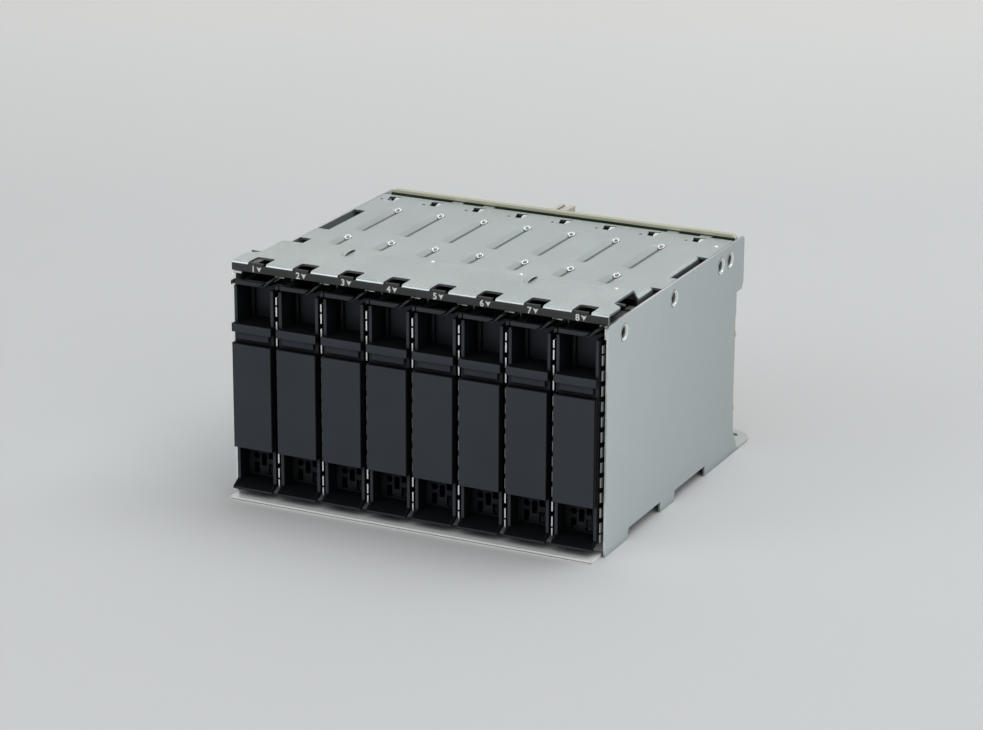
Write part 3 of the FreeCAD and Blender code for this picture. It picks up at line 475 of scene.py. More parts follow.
def boardMaterial(values):
    material, tree, shader, place = startMaterial("boardLaminate")
    face = useGroup(tree, faceTree, Axis=(0.0, 1.0, 0.0))
    mottle = useGroup(tree, mottleTree, Vector=place, Broad=60.0, Fine=2200.0, Fleck=0.5)
    tracks = tree.nodes.new("ShaderNodeTexWave")
    tracks.bands_direction = "Z"
    tracks.inputs["Scale"].default_value = 260.0
    tracks.inputs["Distortion"].default_value = 6.0
    tracks.inputs["Detail"].default_value = 1.0
    tracks.inputs["Detail Scale"].default_value = 0.15
    tree.links.new(place, tracks.inputs["Vector"])
    line = mathNode(tree, "GREATER_THAN", tracks.outputs["Fac"], 0.86)
    green = mixColor(tree, mottle.outputs["Value"], values["mask"], values["maskLight"])
    green = mixColor(tree, mathNode(tree, "MULTIPLY", line, 0.6), green, values["track"])
    core = mixColor(tree, mottle.outputs["Value"], values["coreDark"], values["core"])
    parts = tree.nodes.new("ShaderNodeSeparateXYZ")
    tree.links.new(place, parts.inputs[0])
    covered = mathNode(tree, "LESS_THAN", parts.outputs["Z"], boardHigh.z - values["bareBand"])
    color = mixColor(tree, mathNode(tree, "MULTIPLY", face.outputs["Mask"], covered), core, green)
    tree.links.new(color, shader.inputs["Base Color"])
    tree.links.new(rangeOf(tree, face.outputs["Mask"], 0.62, 0.30), shader.inputs["Roughness"])
    edge = useGroup(tree, edgeTree, Radius=0.0002, Gain=5.0)
    tree.links.new(edge.outputs["Normal"], shader.inputs["Normal"])
    return material


# small steel parts: bright where plated and dark where cut, with a little spread in tone and roughness, and
# painted shade in their hollows

metalFinishes = {
    "rivetSteel": {"dark": (0.84, 0.86, 0.86), "light": (0.95, 0.96, 0.95),
                   "rough": (0.18, 0.30), "metal": 0.55},
    "screwSteel": {"dark": (0.45, 0.46, 0.46), "light": (0.66, 0.67, 0.66),
                   "rough": (0.22, 0.36), "metal": 1.0},
    "cutSteel": {"dark": (0.12, 0.13, 0.135), "light": (0.20, 0.21, 0.215),
                 "rough": (0.40, 0.55), "metal": 0.7},
}


def metalMaterial(name):
    values = metalFinishes[name]
    material, tree, shader, place = startMaterial(name)
    mottle = useGroup(tree, mottleTree, Vector=place, Broad=350.0, Fine=2500.0, Fleck=0.5)
    color = mixColor(tree, mottle.outputs["Value"], values["dark"], values["light"])
    # painted shade: darker in hollows and narrow gaps
    shelter = useGroup(tree, paintedShadeTree, Reach=0.8 * mm, Open=0.82, Gain=3.0)
    color = mixColor(tree, shelter.outputs["Mask"], color, tuple(v * 0.08 for v in values["dark"]))
    tree.links.new(color, shader.inputs["Base Color"])
    tree.links.new(rangeOf(tree, mottle.outputs["Value"], *values["rough"]), shader.inputs["Roughness"])
    shader.inputs["Metallic"].default_value = values["metal"]
    grain = useGroup(tree, grainTree, Vector=place, Scale=3000.0, Strength=0.15)
    geometry = tree.nodes.new("ShaderNodeNewGeometry")
    tree.links.new(geometry.outputs["Normal"], grain.inputs["Normal"])
    tree.links.new(grain.outputs["Normal"], shader.inputs["Normal"])
    return material


def inkMaterial():
    material, tree, shader, place = startMaterial("markInk")
    mottle = useGroup(tree, mottleTree, Vector=place, Broad=500.0, Fine=4000.0, Fleck=0.6)
    color = mixColor(tree, mottle.outputs["Value"], (0.62, 0.64, 0.63), (0.80, 0.81, 0.80))
    tree.links.new(color, shader.inputs["Base Color"])
    tree.links.new(rangeOf(tree, mottle.outputs["Value"], 0.5, 0.7), shader.inputs["Roughness"])
    return material


coverZinc = zincMaterial("coverZinc")
wallZinc = zincMaterial("wallZinc")
webZinc = zincMaterial("webZinc")
floorZinc = zincMaterial("floorZinc")
cutSteel = metalMaterial("cutSteel")
rivetSteel = metalMaterial("rivetSteel")
screwSteel = metalMaterial("screwSteel")
blankPlastic = plasticMaterial("blankPlastic")
latchPlastic = plasticMaterial("latchPlastic")
labelFilm = plasticMaterial("labelFilm")
socketBlack = plasticMaterial("socketBlack")
housingGrey = plasticMaterial("housingGrey")
boardLaminate = boardMaterial(boardFinish)
markInk = inkMaterial()
print("finishes made")

nodeFinish = {
    "side_wall": wallZinc, "liner": webZinc, "divider": webZinc, "top_cover": coverZinc,
    "floor_plate": floorZinc, "label_strip": labelFilm, "cover_rivets": rivetSteel,
    "floor_rivets": rivetSteel, "backplane_board": boardLaminate, "backplane_screws": screwSteel,
    "data_connector": housingGrey,
    "power_connector": socketBlack, "drive_socket": socketBlack, "blank_latch": latchPlastic,
    "blank": blankPlastic,
}


def finishOf(name):
    best = max((key for key in nodeFinish if name.startswith(key)), key=len)
    return nodeFinish[best]


for name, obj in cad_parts.items():
    obj.data.materials.clear()
    obj.data.materials.append(finishOf(name))


# helpers that turn mesh code into pieces

def pieceFrom(bm, name, materials):
    mesh = bpy.data.meshes.new(name)
    bm.to_mesh(mesh)
    bm.free()
    for material in materials:
        mesh.materials.append(material)
    obj = bpy.data.objects.new(name, mesh)
    scene.collection.objects.link(obj)
    return obj


def bakeModifiers(obj):
    # the evaluated mesh takes the place of the one with modifiers
    bpy.context.view_layer.update()
    graph = bpy.context.evaluated_depsgraph_get()
    mesh = bpy.data.meshes.new_from_object(obj.evaluated_get(graph))
    mesh.name = obj.name
    obj.modifiers.clear()
    obj.data = mesh
    return obj


def smoothByAngle(obj, angle):
    for polygon in obj.data.polygons:
        polygon.use_smooth = True
    bm = bmesh.new()
    bm.from_mesh(obj.data)
    for edge in bm.edges:
        if len(edge.link_faces) == 2 and edge.calc_face_angle(0) > angle:
            edge.smooth = False
    bm.to_mesh(obj.data)
    bm.free()


def dropObject(obj):
    bpy.data.objects.remove(obj, do_unlink=True)


# top cover: one bent skin with pressed troughs, cut windows and slots, and edges turned down at the sides

coverShape = {
    "stripDepth": 29.0 * mm, "joggle": 4.0 * mm, "drop": 3.3 * mm, "bend": 0.85 * mm,
    "wideDepth": 9.0 * mm, "shoulder": 4.6 * mm, "stripInset": 3.9 * mm,
    "lipInset": 4.9 * mm, "lipBend": 1.6 * mm, "lipDrop": 3.6 * mm, "gap": 0.15 * mm,
    "lips": ((33.0 * mm, 46.4 * mm), (59.4 * mm, 87.0 * mm)),
    "tabs": (-39.7 * mm, -27.1 * mm, 45.8 * mm, 58.4 * mm), "tabWidth": 4.3 * mm, "tabLength": 1.9 * mm,
    "zincLipFaces": 5,  # of each side lip in zinc; the faces after them, down the roll and the flange, take the dark cut-steel finish as painted shade in the gap beside the wall
}
troughShape = {
    "left": 3.9 * mm, "right": 2.0 * mm, "end": 2.6 * mm, "depth": 0.95 * mm, "offset": 2.6 * mm,
    "spans": ((43.4 * mm, 56.7 * mm), (63.0 * mm, 95.3 * mm)),
}
windowShape = {"width": 7.0 * mm, "depth": 7.0 * mm, "drop": 1.6 * mm, "corner": 0.8 * mm}
rearSlotShape = {"width": 4.0 * mm, "length": 5.6 * mm, "skew": 1.4 * mm, "flare": 0.5 * mm,
                 "inset": 4.5 * mm, "offset": 3.4 * mm, "pip": 0.6 * mm, "pipOffset": 1.3 * mm}
rearEdge = coverHigh.y - coverShape["tabLength"]
troughCentres = [x - troughShape["offset"] for x in bayEdges]


def smoothStep(t):
    t = min(max(t, 0.0), 1.0)
    return t * t * (3 - 2 * t)


def troughSlope(x, y):
    # how far down a pressed channel this point lies, 0 to 1, and on which side of its crease, -1 to 1
    for centre in troughCentres:
        away = x - centre
        side = away / (troughShape["right"] if away > 0 else troughShape["left"])
        if abs(side) >= 1:
            continue
        for start, end in troughShape["spans"]:
            low = frontY + start + troughShape["end"]
            high = frontY + end - troughShape["end"]
            past = (y - min(max(y, low), high)) / troughShape["end"]
            far = math.hypot(side, past)
            if far < 1:
                return 1 - far, side
    return 0.0, 0.0


def troughDepth(x, y):
    slope, side = troughSlope(x, y)
    return troughShape["depth"] * (0.55 * slope + 0.45 * smoothStep(slope))


def pressValue(x, y):
    # painted shade on the left flank, darkest in the crease, and a faint painted highlight on the right
    slope, side = troughSlope(x, y)
    reach = smoothStep(slope * 4)
    if side < 0.12:
        return reach * (0.45 + 0.35 * (1 + side) + 0.2 * smoothStep(1 - abs(side) * 4))
    return -0.1 * reach


def spread(first, last, step):
    count = max(1, math.ceil((last - first) / step - 1e-6))
    return [first + (last - first) * i / count for i in range(count + 1)]


def mergeStations(values):
    values = sorted(values)
    kept = [values[0]]
    for value in values[1:]:
        if value - kept[-1] > 0.02 * mm:
            kept.append(value)
    return kept


def coverProfile():
    # (y, z) stations from the foot of the front flange, over the bend and the joggle, to the rear edge
    shape = coverShape
    bend = shape["bend"]
    points = [(0.0, z) for z in spread(stripTop - shape["drop"], stripTop - bend, 0.7 * mm)]
    for i in range(1, 6):
        turn = math.pi / 2 * i / 6
        points.append((bend - bend * math.cos(turn), stripTop - bend + bend * math.sin(turn)))
    rows = spread(bend, shape["stripDepth"] - 0.5 * mm, 1.6 * mm)
    rows += spread(shape["wideDepth"], shape["wideDepth"] + shape["shoulder"], 0.5 * mm)
    points += [(y, stripTop) for y in mergeStations(rows)]
    rise = stripTop - deckTop
    for i in range(1, 12):
        along = i / 12
        y = shape["stripDepth"] - 0.5 * mm + (shape["joggle"] + 1.0 * mm) * along
        points.append((y, stripTop - rise * smoothStep(along)))
    deckStart = shape["stripDepth"] + shape["joggle"] + 0.5 * mm
    stations = spread(deckStart, rearEdge - frontY, 3.0 * mm)
    for start, end in troughShape["spans"]:
        reach = troughShape["end"]
        stations += spread(start - 0.3 * mm, start + reach, 0.45 * mm)
        stations += spread(end - reach, end + 0.3 * mm, 0.45 * mm)
    for start, end in shape["lips"]:
        stations += [start, end]
    stations = [y for y in stations if y >= deckStart - 1e-7]
    points += [(y, deckTop) for y in mergeStations(stations)]
    points.append((coverHigh.y - frontY, deckTop))  # the tabs reach to here
    return [(frontY + y, z) for y, z in points]


def coverColumns():
    shape = coverShape
    lipStart = innerHalf - shape["lipInset"]
    columns = spread(-outerHalf, outerHalf, 2.4 * mm)
    strip = outerHalf - shape["stripInset"]
    columns += [lipStart, -lipStart, strip, -strip, innerHalf - shape["gap"], shape["gap"] - innerHalf]
    for centre in troughCentres:
        columns += spread(centre - troughShape["left"], centre, 0.45 * mm)
        columns += spread(centre, centre + troughShape["right"], 0.4 * mm)
    for x in shape["tabs"]:
        columns += [x - shape["tabWidth"] / 2, x + shape["tabWidth"] / 2]
    return mergeStations(columns)


def insideTab(x):
    return any(abs(x - centre) < coverShape["tabWidth"] / 2 for centre in coverShape["tabs"])


def sideLimit(y):
    # half width of the cover at this depth: full at the front, in past an S-shaped shoulder,
    # then lips and lands in turn
    shape = coverShape
    depth = y - frontY
    strip = outerHalf - shape["stripInset"]
    if depth < shape["wideDepth"]:
        return outerHalf
    if depth < shape["wideDepth"] + shape["shoulder"]:
        along = (depth - shape["wideDepth"]) / shape["shoulder"]
        return outerHalf + (strip - outerHalf) * smoothStep(along)
    if depth < shape["stripDepth"] + shape["joggle"]:
        return strip
    for start, end in shape["lips"]:
        if start - 1e-6 < depth < end - 1e-6:
            return innerHalf - shape["lipInset"]
    return innerHalf - shape["gap"]


def addCoverSkin(bm):
    profile = coverProfile()
    columns = coverColumns()
    shoulderStart = frontY + coverShape["wideDepth"]
    shoulderEnd = shoulderStart + coverShape["shoulder"]
    grid = {}

    def corner(i, j):
        # beside the shoulder the outer columns slide in along its outline
        y, z = profile[j]
        x = columns[i]
        if shoulderStart < y < shoulderEnd:
            x = math.copysign(min(abs(x), sideLimit(y)), x)
        key = (round(x / mm, 4), j)
        if key not in grid:
            grid[key] = bm.verts.new((x, y, z - troughDepth(x, y)))
        return grid[key]

    for j in range(len(profile) - 1):
        middle = (profile[j][0] + profile[j + 1][0]) / 2
        limit = sideLimit(middle)
        for i in range(len(columns) - 1):
            outer = max(abs(columns[i]), abs(columns[i + 1]))
            if outer > limit + 1e-6 and not shoulderStart < middle < shoulderEnd:
                continue
            if middle > rearEdge and not insideTab((columns[i] + columns[i + 1]) / 2):
                continue
            ring = []
            for vert in (corner(i, j), corner(i + 1, j), corner(i + 1, j + 1), corner(i, j + 1)):
                if vert not in ring:
                    ring.append(vert)
            if len(ring) > 2:
                bm.faces.new(ring)
    return profile


def addSideLips(bm, profile):
    # the deck edge rolls down beside the wall and ends in a short upright flange
    shape = coverShape
    start = innerHalf - shape["lipInset"]
    radius = shape["lipBend"]
    path = []
    for t in spread(0, math.pi / 2, 0.2):
        path.append((start + radius * math.sin(t), deckTop - radius + radius * math.cos(t)))
    path.append((start + radius, deckTop - shape["lipDrop"]))
    for first, last in shape["lips"]:
        rows = [y for y, z in profile if first - 1e-6 < y - frontY < last + 1e-6]
        for side in (1, -1):
            rings = [[bm.verts.new((side * x, y, z)) for x, z in path] for y in rows]
            for near, far in zip(rings, rings[1:]):
                for k in range(len(path) - 1):
                    quad = (near[k], near[k + 1], far[k + 1], far[k])
                    face = bm.faces.new(quad if side > 0 else quad[::-1])
                    # the lower faces of the lip are dark steel as painted shade
                    face.material_index = 0 if k < shape["zincLipFaces"] else 1


def prism(bm, outline, low, high):
    # an upright prism from a plan outline that runs counter-clockwise
    bottom = [bm.verts.new((x, y, low)) for x, y in outline]
    top = [bm.verts.new((x, y, high)) for x, y in outline]
    bm.faces.new(top)
    bm.faces.new(bottom[::-1])
    count = len(outline)
    for i in range(count):
        k = (i + 1) % count
        bm.faces.new((bottom[i], bottom[k], top[k], top[i]))


def roundedBox(x0, x1, y0, y1, radius):
    points = []
    corners = ((x1 - radius, y0 + radius, -0.5), (x1 - radius, y1 - radius, 0.0),
               (x0 + radius, y1 - radius, 0.5), (x0 + radius, y0 + radius, 1.0))
    for cx, cy, start in corners:
        for i in range(5):
            turn = math.pi * (start + i / 8)
            points.append((cx + radius * math.cos(turn), cy + radius * math.sin(turn)))
    return points


def coverCutter():
    bm = bmesh.new()
    window = windowShape
    slot = rearSlotShape
    for x in bayCentres:
        half = window["width"] / 2
        outline = roundedBox(x - half, x + half, frontY - 2 * mm, frontY + window["depth"], window["corner"])
        prism(bm, outline, stripTop - window["drop"], stripTop + 2 * mm)
        left = x - slot["offset"] - slot["width"] / 2
        right = left + slot["width"]
        front = rearEdge - slot["inset"] - slot["length"] / 2
        rear = front + slot["length"]
        arrow = [(left + slot["skew"], front), (right, front), (right + slot["flare"], rear),
                 (left, rear - slot["pip"])]
        prism(bm, arrow, deckTop - 2 * mm, deckTop + 2 * mm)
        pip = [(left - slot["pipOffset"] + slot["pip"] * math.cos(math.pi * k / 8),
                front + slot["pip"] * (1 + math.sin(math.pi * k / 8))) for k in range(16)]
        prism(bm, pip, deckTop - 2 * mm, deckTop + 2 * mm)
    for face in bm.faces:
        face.material_index = 1
    return pieceFrom(bm, "coverCutter", [coverZinc, cutSteel])


def buildCover():
    bm = bmesh.new()
    addSideLips(bm, addCoverSkin(bm))
    bmesh.ops.remove_doubles(bm, verts=bm.verts, dist=0.01 * mm)
    bmesh.ops.recalc_face_normals(bm, faces=bm.faces)
    up = sum(1 for face in bm.faces if face.normal.z > 0.5)
    if up < len(bm.faces) / 2:
        bmesh.ops.reverse_faces(bm, faces=bm.faces)
    cover = pieceFrom(bm, "coverSkin", [coverZinc, cutSteel])
    thick = cover.modifiers.new("sheet", "SOLIDIFY")
    thick.thickness = sheet
    thick.offset = -1
    thick.use_even_offset = True
    thick.material_offset_rim = 1
    cutter = coverCutter()
    cut = cover.modifiers.new("cutouts", "BOOLEAN")
    cut.operation = "DIFFERENCE"
    cut.solver = "EXACT"
    cut.object = cutter
    bakeModifiers(cover)
    dropObject(cutter)
    smoothByAngle(cover, math.radians(38))
    # painted shade and highlight of each trough, kept on the points
    press = cover.data.attributes.new("press", "FLOAT", "POINT")
    for vert, mark in zip(cover.data.vertices, press.data):
        mark.value = pressValue(vert.co.x, vert.co.y)
    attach(cover, "cage")
    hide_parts("top_cover")
    print("cover", len(cover.data.polygons), "faces")


buildCover()


# Geometry Nodes: one head of a fastener on every point of a carrier

def fastenerTree(name):
    tree = bpy.data.node_groups.new(name, "GeometryNodeTree")
    face = tree.interface
    face.new_socket("Geometry", in_out="INPUT", socket_type="NodeSocketGeometry")
    face.new_socket("Head", in_out="INPUT", socket_type="NodeSocketObject")
    face.new_socket("Size", in_out="INPUT", socket_type="NodeSocketFloat")
    face.new_socket("Turn", in_out="INPUT", socket_type="NodeSocketFloat")
    face.new_socket("Seed", in_out="INPUT", socket_type="NodeSocketInt")
    face.new_socket("Finish", in_out="INPUT", socket_type="NodeSocketMaterial")
    face.new_socket("Geometry", in_out="OUTPUT", socket_type="NodeSocketGeometry")
    start = tree.nodes.new("NodeGroupInput")
    end = tree.nodes.new("NodeGroupOutput")
    head = tree.nodes.new("GeometryNodeObjectInfo")
    head.inputs["As Instance"].default_value = True
    place = tree.nodes.new("GeometryNodeInstanceOnPoints")
    spin = tree.nodes.new("FunctionNodeRandomValue")
    spin.data_type = "FLOAT"
    turn = tree.nodes.new("ShaderNodeCombineXYZ")
    real = tree.nodes.new("GeometryNodeRealizeInstances")
    finish = tree.nodes.new("GeometryNodeSetMaterial")
    link = tree.links.new
    link(start.outputs["Geometry"], place.inputs["Points"])
    link(start.outputs["Head"], head.inputs["Object"])
    link(head.outputs["Geometry"], place.inputs["Instance"])
    link(start.outputs["Size"], place.inputs["Scale"])
    low = [s for s in spin.inputs if s.name == "Min" and s.type == "VALUE"][0]
    high = [s for s in spin.inputs if s.name == "Max" and s.type == "VALUE"][0]
    low.default_value = 0.0
    link(start.outputs["Turn"], high)
    link(start.outputs["Seed"], spin.inputs["Seed"])
    value = [s for s in spin.outputs if s.type == "VALUE"][0]
    link(value, turn.inputs["Z"])
    link(turn.outputs[0], place.inputs["Rotation"])
    link(place.outputs["Instances"], real.inputs["Geometry"])
    link(real.outputs["Geometry"], finish.inputs["Geometry"])
    link(start.outputs["Finish"], finish.inputs["Material"])
    link(finish.outputs["Geometry"], end.inputs["Geometry"])
    return tree


repeatTree = fastenerTree("headOnEachPoint")


def repeatHead(name, points, head, finish, size=1.0, turn=0.0, seed=3):
    bm = bmesh.new()
    for point in points:
        bm.verts.new(point)
    obj = pieceFrom(bm, name, [finish])
    modifier = obj.modifiers.new("repeat", "NODES")
    modifier.node_group = repeatTree
    sockets = {}
    for item in repeatTree.interface.items_tree:
        if item.in_out == "INPUT":
            sockets[item.name] = item.identifier
    modifier[sockets["Head"]] = head
    modifier[sockets["Size"]] = size
    modifier[sockets["Turn"]] = turn
    modifier[sockets["Seed"]] = seed
    modifier[sockets["Finish"]] = finish
    bakeModifiers(obj)
    dropObject(head)
    return obj


def spinHead(name, profile, steps=24):
    # turn a half profile of (radius, height) about Z; the first and last points lie on the axis
    bm = bmesh.new()
    rings = []
    for radius, height in profile:
        if radius < 1e-6:
            rings.append([bm.verts.new((0, 0, height))])
            continue
        ring = []
        for k in range(steps):
            turn = 2 * math.pi * k / steps
            ring.append(bm.verts.new((radius * math.cos(turn), radius * math.sin(turn), height)))
        rings.append(ring)
    for near, far in zip(rings, rings[1:]):
        for k in range(steps):
            m = (k + 1) % steps
            quad = [near[k % len(near)], near[m % len(near)], far[m % len(far)], far[k % len(far)]]
            corners = []
            for vert in quad:
                if vert not in corners:
                    corners.append(vert)
            bm.faces.new(corners)
    bmesh.ops.recalc_face_normals(bm, faces=bm.faces)
    head = pieceFrom(bm, name, [])
    smoothByAngle(head, math.radians(50))
    return head


# rivets on the rear slope of each trough: a rolled ring with a sunk middle, leaning to the front

rivetShape = {"radius": 1.3 * mm, "rise": 1.0 * mm, "well": 0.68 * mm, "wellDepth": 0.85 * mm,
              "setback": 2.25 * mm, "seat": 0.62 * mm, "lean": 0.55}


def rivetHead(name, values):
    radius, rise, well = values["radius"], values["rise"], values["well"]
    middle = (radius + well) / 2
    reach = (radius - well) / 2
    profile = [(0.0, rise - values["wellDepth"]), (well * 0.8, rise - values["wellDepth"])]
    for k in range(7):
        turn = math.pi * (1 - k / 6)
        profile.append((middle + reach * math.cos(turn), rise * 0.45 + rise * 0.55 * math.sin(turn)))
    profile += [(radius, -0.02 * mm), (0.0, -0.02 * mm)]
    head = spinHead(name, profile)
    head.data.transform(Matrix.Rotation(values["lean"], 4, "X"))
    return head


def buildRivets():
    rowY = [frontY + end - rivetShape["setback"] for start, end in troughShape["spans"]]
    seat = deckTop - rivetShape["seat"]
    places = [(x, y, seat) for x in troughCentres for y in rowY]
    rivets = repeatHead("coverRivetHeads", places, rivetHead("rivetHead", rivetShape), rivetSteel)
    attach(rivets, "cage")
    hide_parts("cover_rivets")


buildRivets()
print("rivets placed")


# label strip: one numeral and one pointer for each bay

markShape = {"height": 2.15 * mm, "stand": 0.04 * mm, "numeralShift": -1.15 * mm, "pointerShift": 1.12 * mm,
             "pointerWidth": 1.9 * mm, "pointerHeight": 1.8 * mm, "pointerNotch": 0.28 * mm,
             "foot": 0.24 * mm, "capShare": 0.70, "bolder": 0.075 * mm}


def numeral(text, x, values):
    curve = bpy.data.curves.new("numeral", "FONT")
    curve.body = text
    curve.size = values["height"] / values["capShare"]
    curve.align_x = "CENTER"
    curve.offset = values["bolder"]
    curve.extrude = values["stand"] / 2
    obj = bpy.data.objects.new("numeral", curve)
    scene.collection.objects.link(obj)
    bpy.context.view_layer.update()
    graph = bpy.context.evaluated_depsgraph_get()
    mesh = bpy.data.meshes.new_from_object(obj.evaluated_get(graph))
    stand = Matrix.Rotation(math.pi / 2, 4, "X")
    foot = Vector((x + values["numeralShift"], labelLow.y - values["stand"] / 2, labelLow.z + values["foot"]))
    mesh.transform(Matrix.Translation(foot) @ stand)
    dropObject(obj)
    return mesh


def buildMarks(values):
    bm = bmesh.new()
    for bay, x in zip(bayNumbers, bayCentres):
        mesh = numeral(str(bay), x, values)
        bm.from_mesh(mesh)
        bpy.data.meshes.remove(mesh)
        centre = x + values["pointerShift"]
        half = values["pointerWidth"] / 2
        top = labelLow.z + values["foot"] + values["height"] * 0.9
        tip = top - values["pointerHeight"]
        notch = top - values["pointerNotch"]
        corners = [(centre - half, top), (centre, notch), (centre + half, top), (centre, tip)]
        near = [bm.verts.new((a, labelLow.y - values["stand"], b)) for a, b in corners]
        far = [bm.verts.new((a, labelLow.y, b)) for a, b in corners]
        bm.faces.new(near)
        bm.faces.new(far[::-1])
        for k in range(4):
            bm.faces.new((near[k], far[k], far[(k + 1) % 4], near[(k + 1) % 4]))
    bmesh.ops.recalc_face_normals(bm, faces=bm.faces)
    marks = pieceFrom(bm, "bayNumerals", [markInk])
    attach(marks, "cage")


buildMarks(markShape)
print("label marked")


# inner sheets: the cage's own solids, cut and coined as the real sheet is

webShape = {"toothHalf": 0.24 * mm, "toothRoot": 1.9 * mm, "neck": 9.0 * mm, "neckGap": 4.8 * mm,
            "tabHalf": 1.75 * mm, "tabFront": 0.2 * mm, "tabRear": 11.0 * mm, "tabSheet": 0.35 * mm,
            "linerTooth": (0.70 * mm, 1.05 * mm), "gapDrop": 5.0 * mm,
            "hemGroove": (0.52 * mm, 0.72 * mm), "hemDepth": 0.9 * mm}


def trimmedCopy(node, name, boxes, move=None, added=()):
    # a merged copy of a solid, with boxes cut out of it, its corners moved by a rule and slabs added
    bm = bmesh.new()
    bm.from_mesh(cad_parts[node].data)
    bmesh.ops.remove_doubles(bm, verts=bm.verts, dist=0.002 * mm)
    bmesh.ops.dissolve_limit(bm, angle_limit=math.radians(1.0), verts=bm.verts, edges=bm.edges)
    piece = pieceFrom(bm, name, [finishOf(node)])
    if boxes:
        cutters = bmesh.new()
        for x0, x1, y0, y1, z0, z1 in boxes:
            prism(cutters, [(x0, y0), (x1, y0), (x1, y1), (x0, y1)], z0, z1)
        cutter = pieceFrom(cutters, "cutter", [finishOf(node)])
        cut = piece.modifiers.new("cut", "BOOLEAN")
        cut.operation = "DIFFERENCE"
        cut.solver = "EXACT"
        cut.object = cutter
        bakeModifiers(piece)
        dropObject(cutter)
    bm = bmesh.new()
    bm.from_mesh(piece.data)
    if move:
        for vert in bm.verts:
            vert.co = move(vert.co)
    for x0, x1, y0, y1, z0, z1 in added:
        prism(bm, [(x0, y0), (x1, y0), (x1, y1), (x0, y1)], z0, z1)
    bm.to_mesh(piece.data)
    bm.free()
    smoothByAngle(piece, math.radians(35))
    return piece


def buildDividers(values):
    for index, x in enumerate(bayEdges, start=1):
        node = f"divider_{index}"
        low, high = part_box(node)
        bottom = deckTop - sheet - values["neckGap"]
        front = low.y - 1 * mm
        rear = frontY + values["neck"]
        boxes = [(x - 2 * mm, x + 2 * mm, front, rear, bottom, high.z + 1 * mm)]

        def coin(place, x=x):
            # teeth are coined thinner than the web
            if place.y < frontY + values["toothRoot"]:
                limit = values["toothHalf"]
                return Vector((x + min(max(place.x - x, -limit), limit), place.y, place.z))
            return place

        top = high.z
        tab = (x - values["tabHalf"], x + values["tabHalf"], frontY + values["tabFront"],
               frontY + values["tabRear"], top - values["tabSheet"], top)
        piece = trimmedCopy(node, f"dividerWeb_{index}", boxes, coin, [tab])
        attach(piece, "cage")
        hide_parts(node)


def buildLiners(values):
    inner, outer = values["linerTooth"]
    for side, node in ((1, "liner_right"), (-1, "liner_left")):
        spans = coverShape["lips"]
        boxes = []
        for start, end in spans:
            xs = sorted((side * (innerHalf - 1 * mm), side * (innerHalf + 1 * mm)))
            bottom = deckTop - values["gapDrop"]
            boxes.append((xs[0], xs[1], frontY + start, frontY + end, bottom, deckTop + 1 * mm))

        def fold(place, side=side):
            # teeth stand a little in from the wall, and thinner
            if place.y < frontY + values["toothRoot"] and place.z < deckTop - 6 * mm:
                near = abs(place.x) < innerHalf - 0.3 * mm
                return Vector((side * (innerHalf - (outer if near else inner)), place.y, place.z))
            return place

        piece = trimmedCopy(node, f"linerWeb_{'right' if side > 0 else 'left'}", boxes, fold)
        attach(piece, "cage")
        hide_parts(node)


def buildFloor(values):
    low, high = values["hemGroove"]
    rear = floorLow.y + values["hemDepth"]
    groove = (-outerHalf - 1 * mm, outerHalf + 1 * mm, floorLow.y - 1 * mm, rear, low, high)
    piece = trimmedCopy("floor_plate", "floorHemmed", [groove])
    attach(piece, "cage")
    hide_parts("floor_plate")


buildDividers(webShape)
buildLiners(webShape)
buildFloor(webShape)
print("inner sheets cut and coined")


# rims of the countersunk holes in the side walls, in bright steel as a painted highlight

holeShape = {"rim": 2.75 * mm, "bore": 2.15 * mm, "sink": 0.72 * mm, "front": 13.2 * mm,
             "rearInset": 13.3 * mm, "count": 3, "locatingGap": 8.5 * mm, "drop": 5.7 * mm}


def holeRim(name, values, side):
    # a dished ring, turned so that its mouth faces out of the wall
    rim, bore, sink = values["rim"], values["bore"], values["sink"]
    profile = [(bore, -sink), (bore + 0.12 * mm, -sink + 0.03 * mm), (rim - 0.3 * mm, -0.07 * mm)]
    profile += [(rim, 0.04 * mm), (rim + 0.15 * mm, 0.0), (rim, -0.05 * mm)]
    profile += [(bore, -sink - 0.12 * mm), (bore, -sink)]
    ring = spinHead(name, profile, 32)
    ring.data.transform(Matrix.Rotation(side * math.pi / 2, 4, "Y"))
    return ring


def buildHoleRims(values):
    depth = rearEdge - frontY
    last = depth - values["rearInset"]
    run = last - values["front"]
    places = [values["front"] + run * k / (values["count"] - 1) for k in range(values["count"])]
    places.append(last + values["locatingGap"])
    for side, label in ((1, "right"), (-1, "left")):
        points = [(side * outerHalf, frontY + y, deckTop - values["drop"]) for y in places]
        # the rims take the bright rivet steel as painted highlight
        rims = repeatHead(f"holeRims_{label}", points, holeRim("holeRim", values, side), rivetSteel)
        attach(rims, "cage")


buildHoleRims(holeShape)
print("hole rims placed")


# pressed details on the cover: drawn dimples, lanced tongues and the tabs under the rear slots; the dimples
# and tabs are in bright rivet steel as painted highlight

detailShape = {"dimples": ((-8.2 * mm, 28.9 * mm, 3.95 * mm), (25.1 * mm, 28.9 * mm, 3.95 * mm),
                           (60.4 * mm, 28.3 * mm, 3.95 * mm), (66.4 * mm, 101.6 * mm, 0.05 * mm)),
               "dimple": 0.85 * mm, "tongues": ((-38.0 * mm, 25.0 * mm), (31.5 * mm, 24.4 * mm)),
               "tongueReach": 4.2 * mm, "tongueRise": 0.85 * mm, "tongueWidth": 0.7,
               "tongueSheet": 0.25 * mm, "slotTab": (1.9 * mm, 3.2 * mm), "tabDrop": 0.9 * mm,
               "tabLap": 0.3 * mm, "tabSink": 0.08 * mm, "tabSheet": 0.4 * mm}


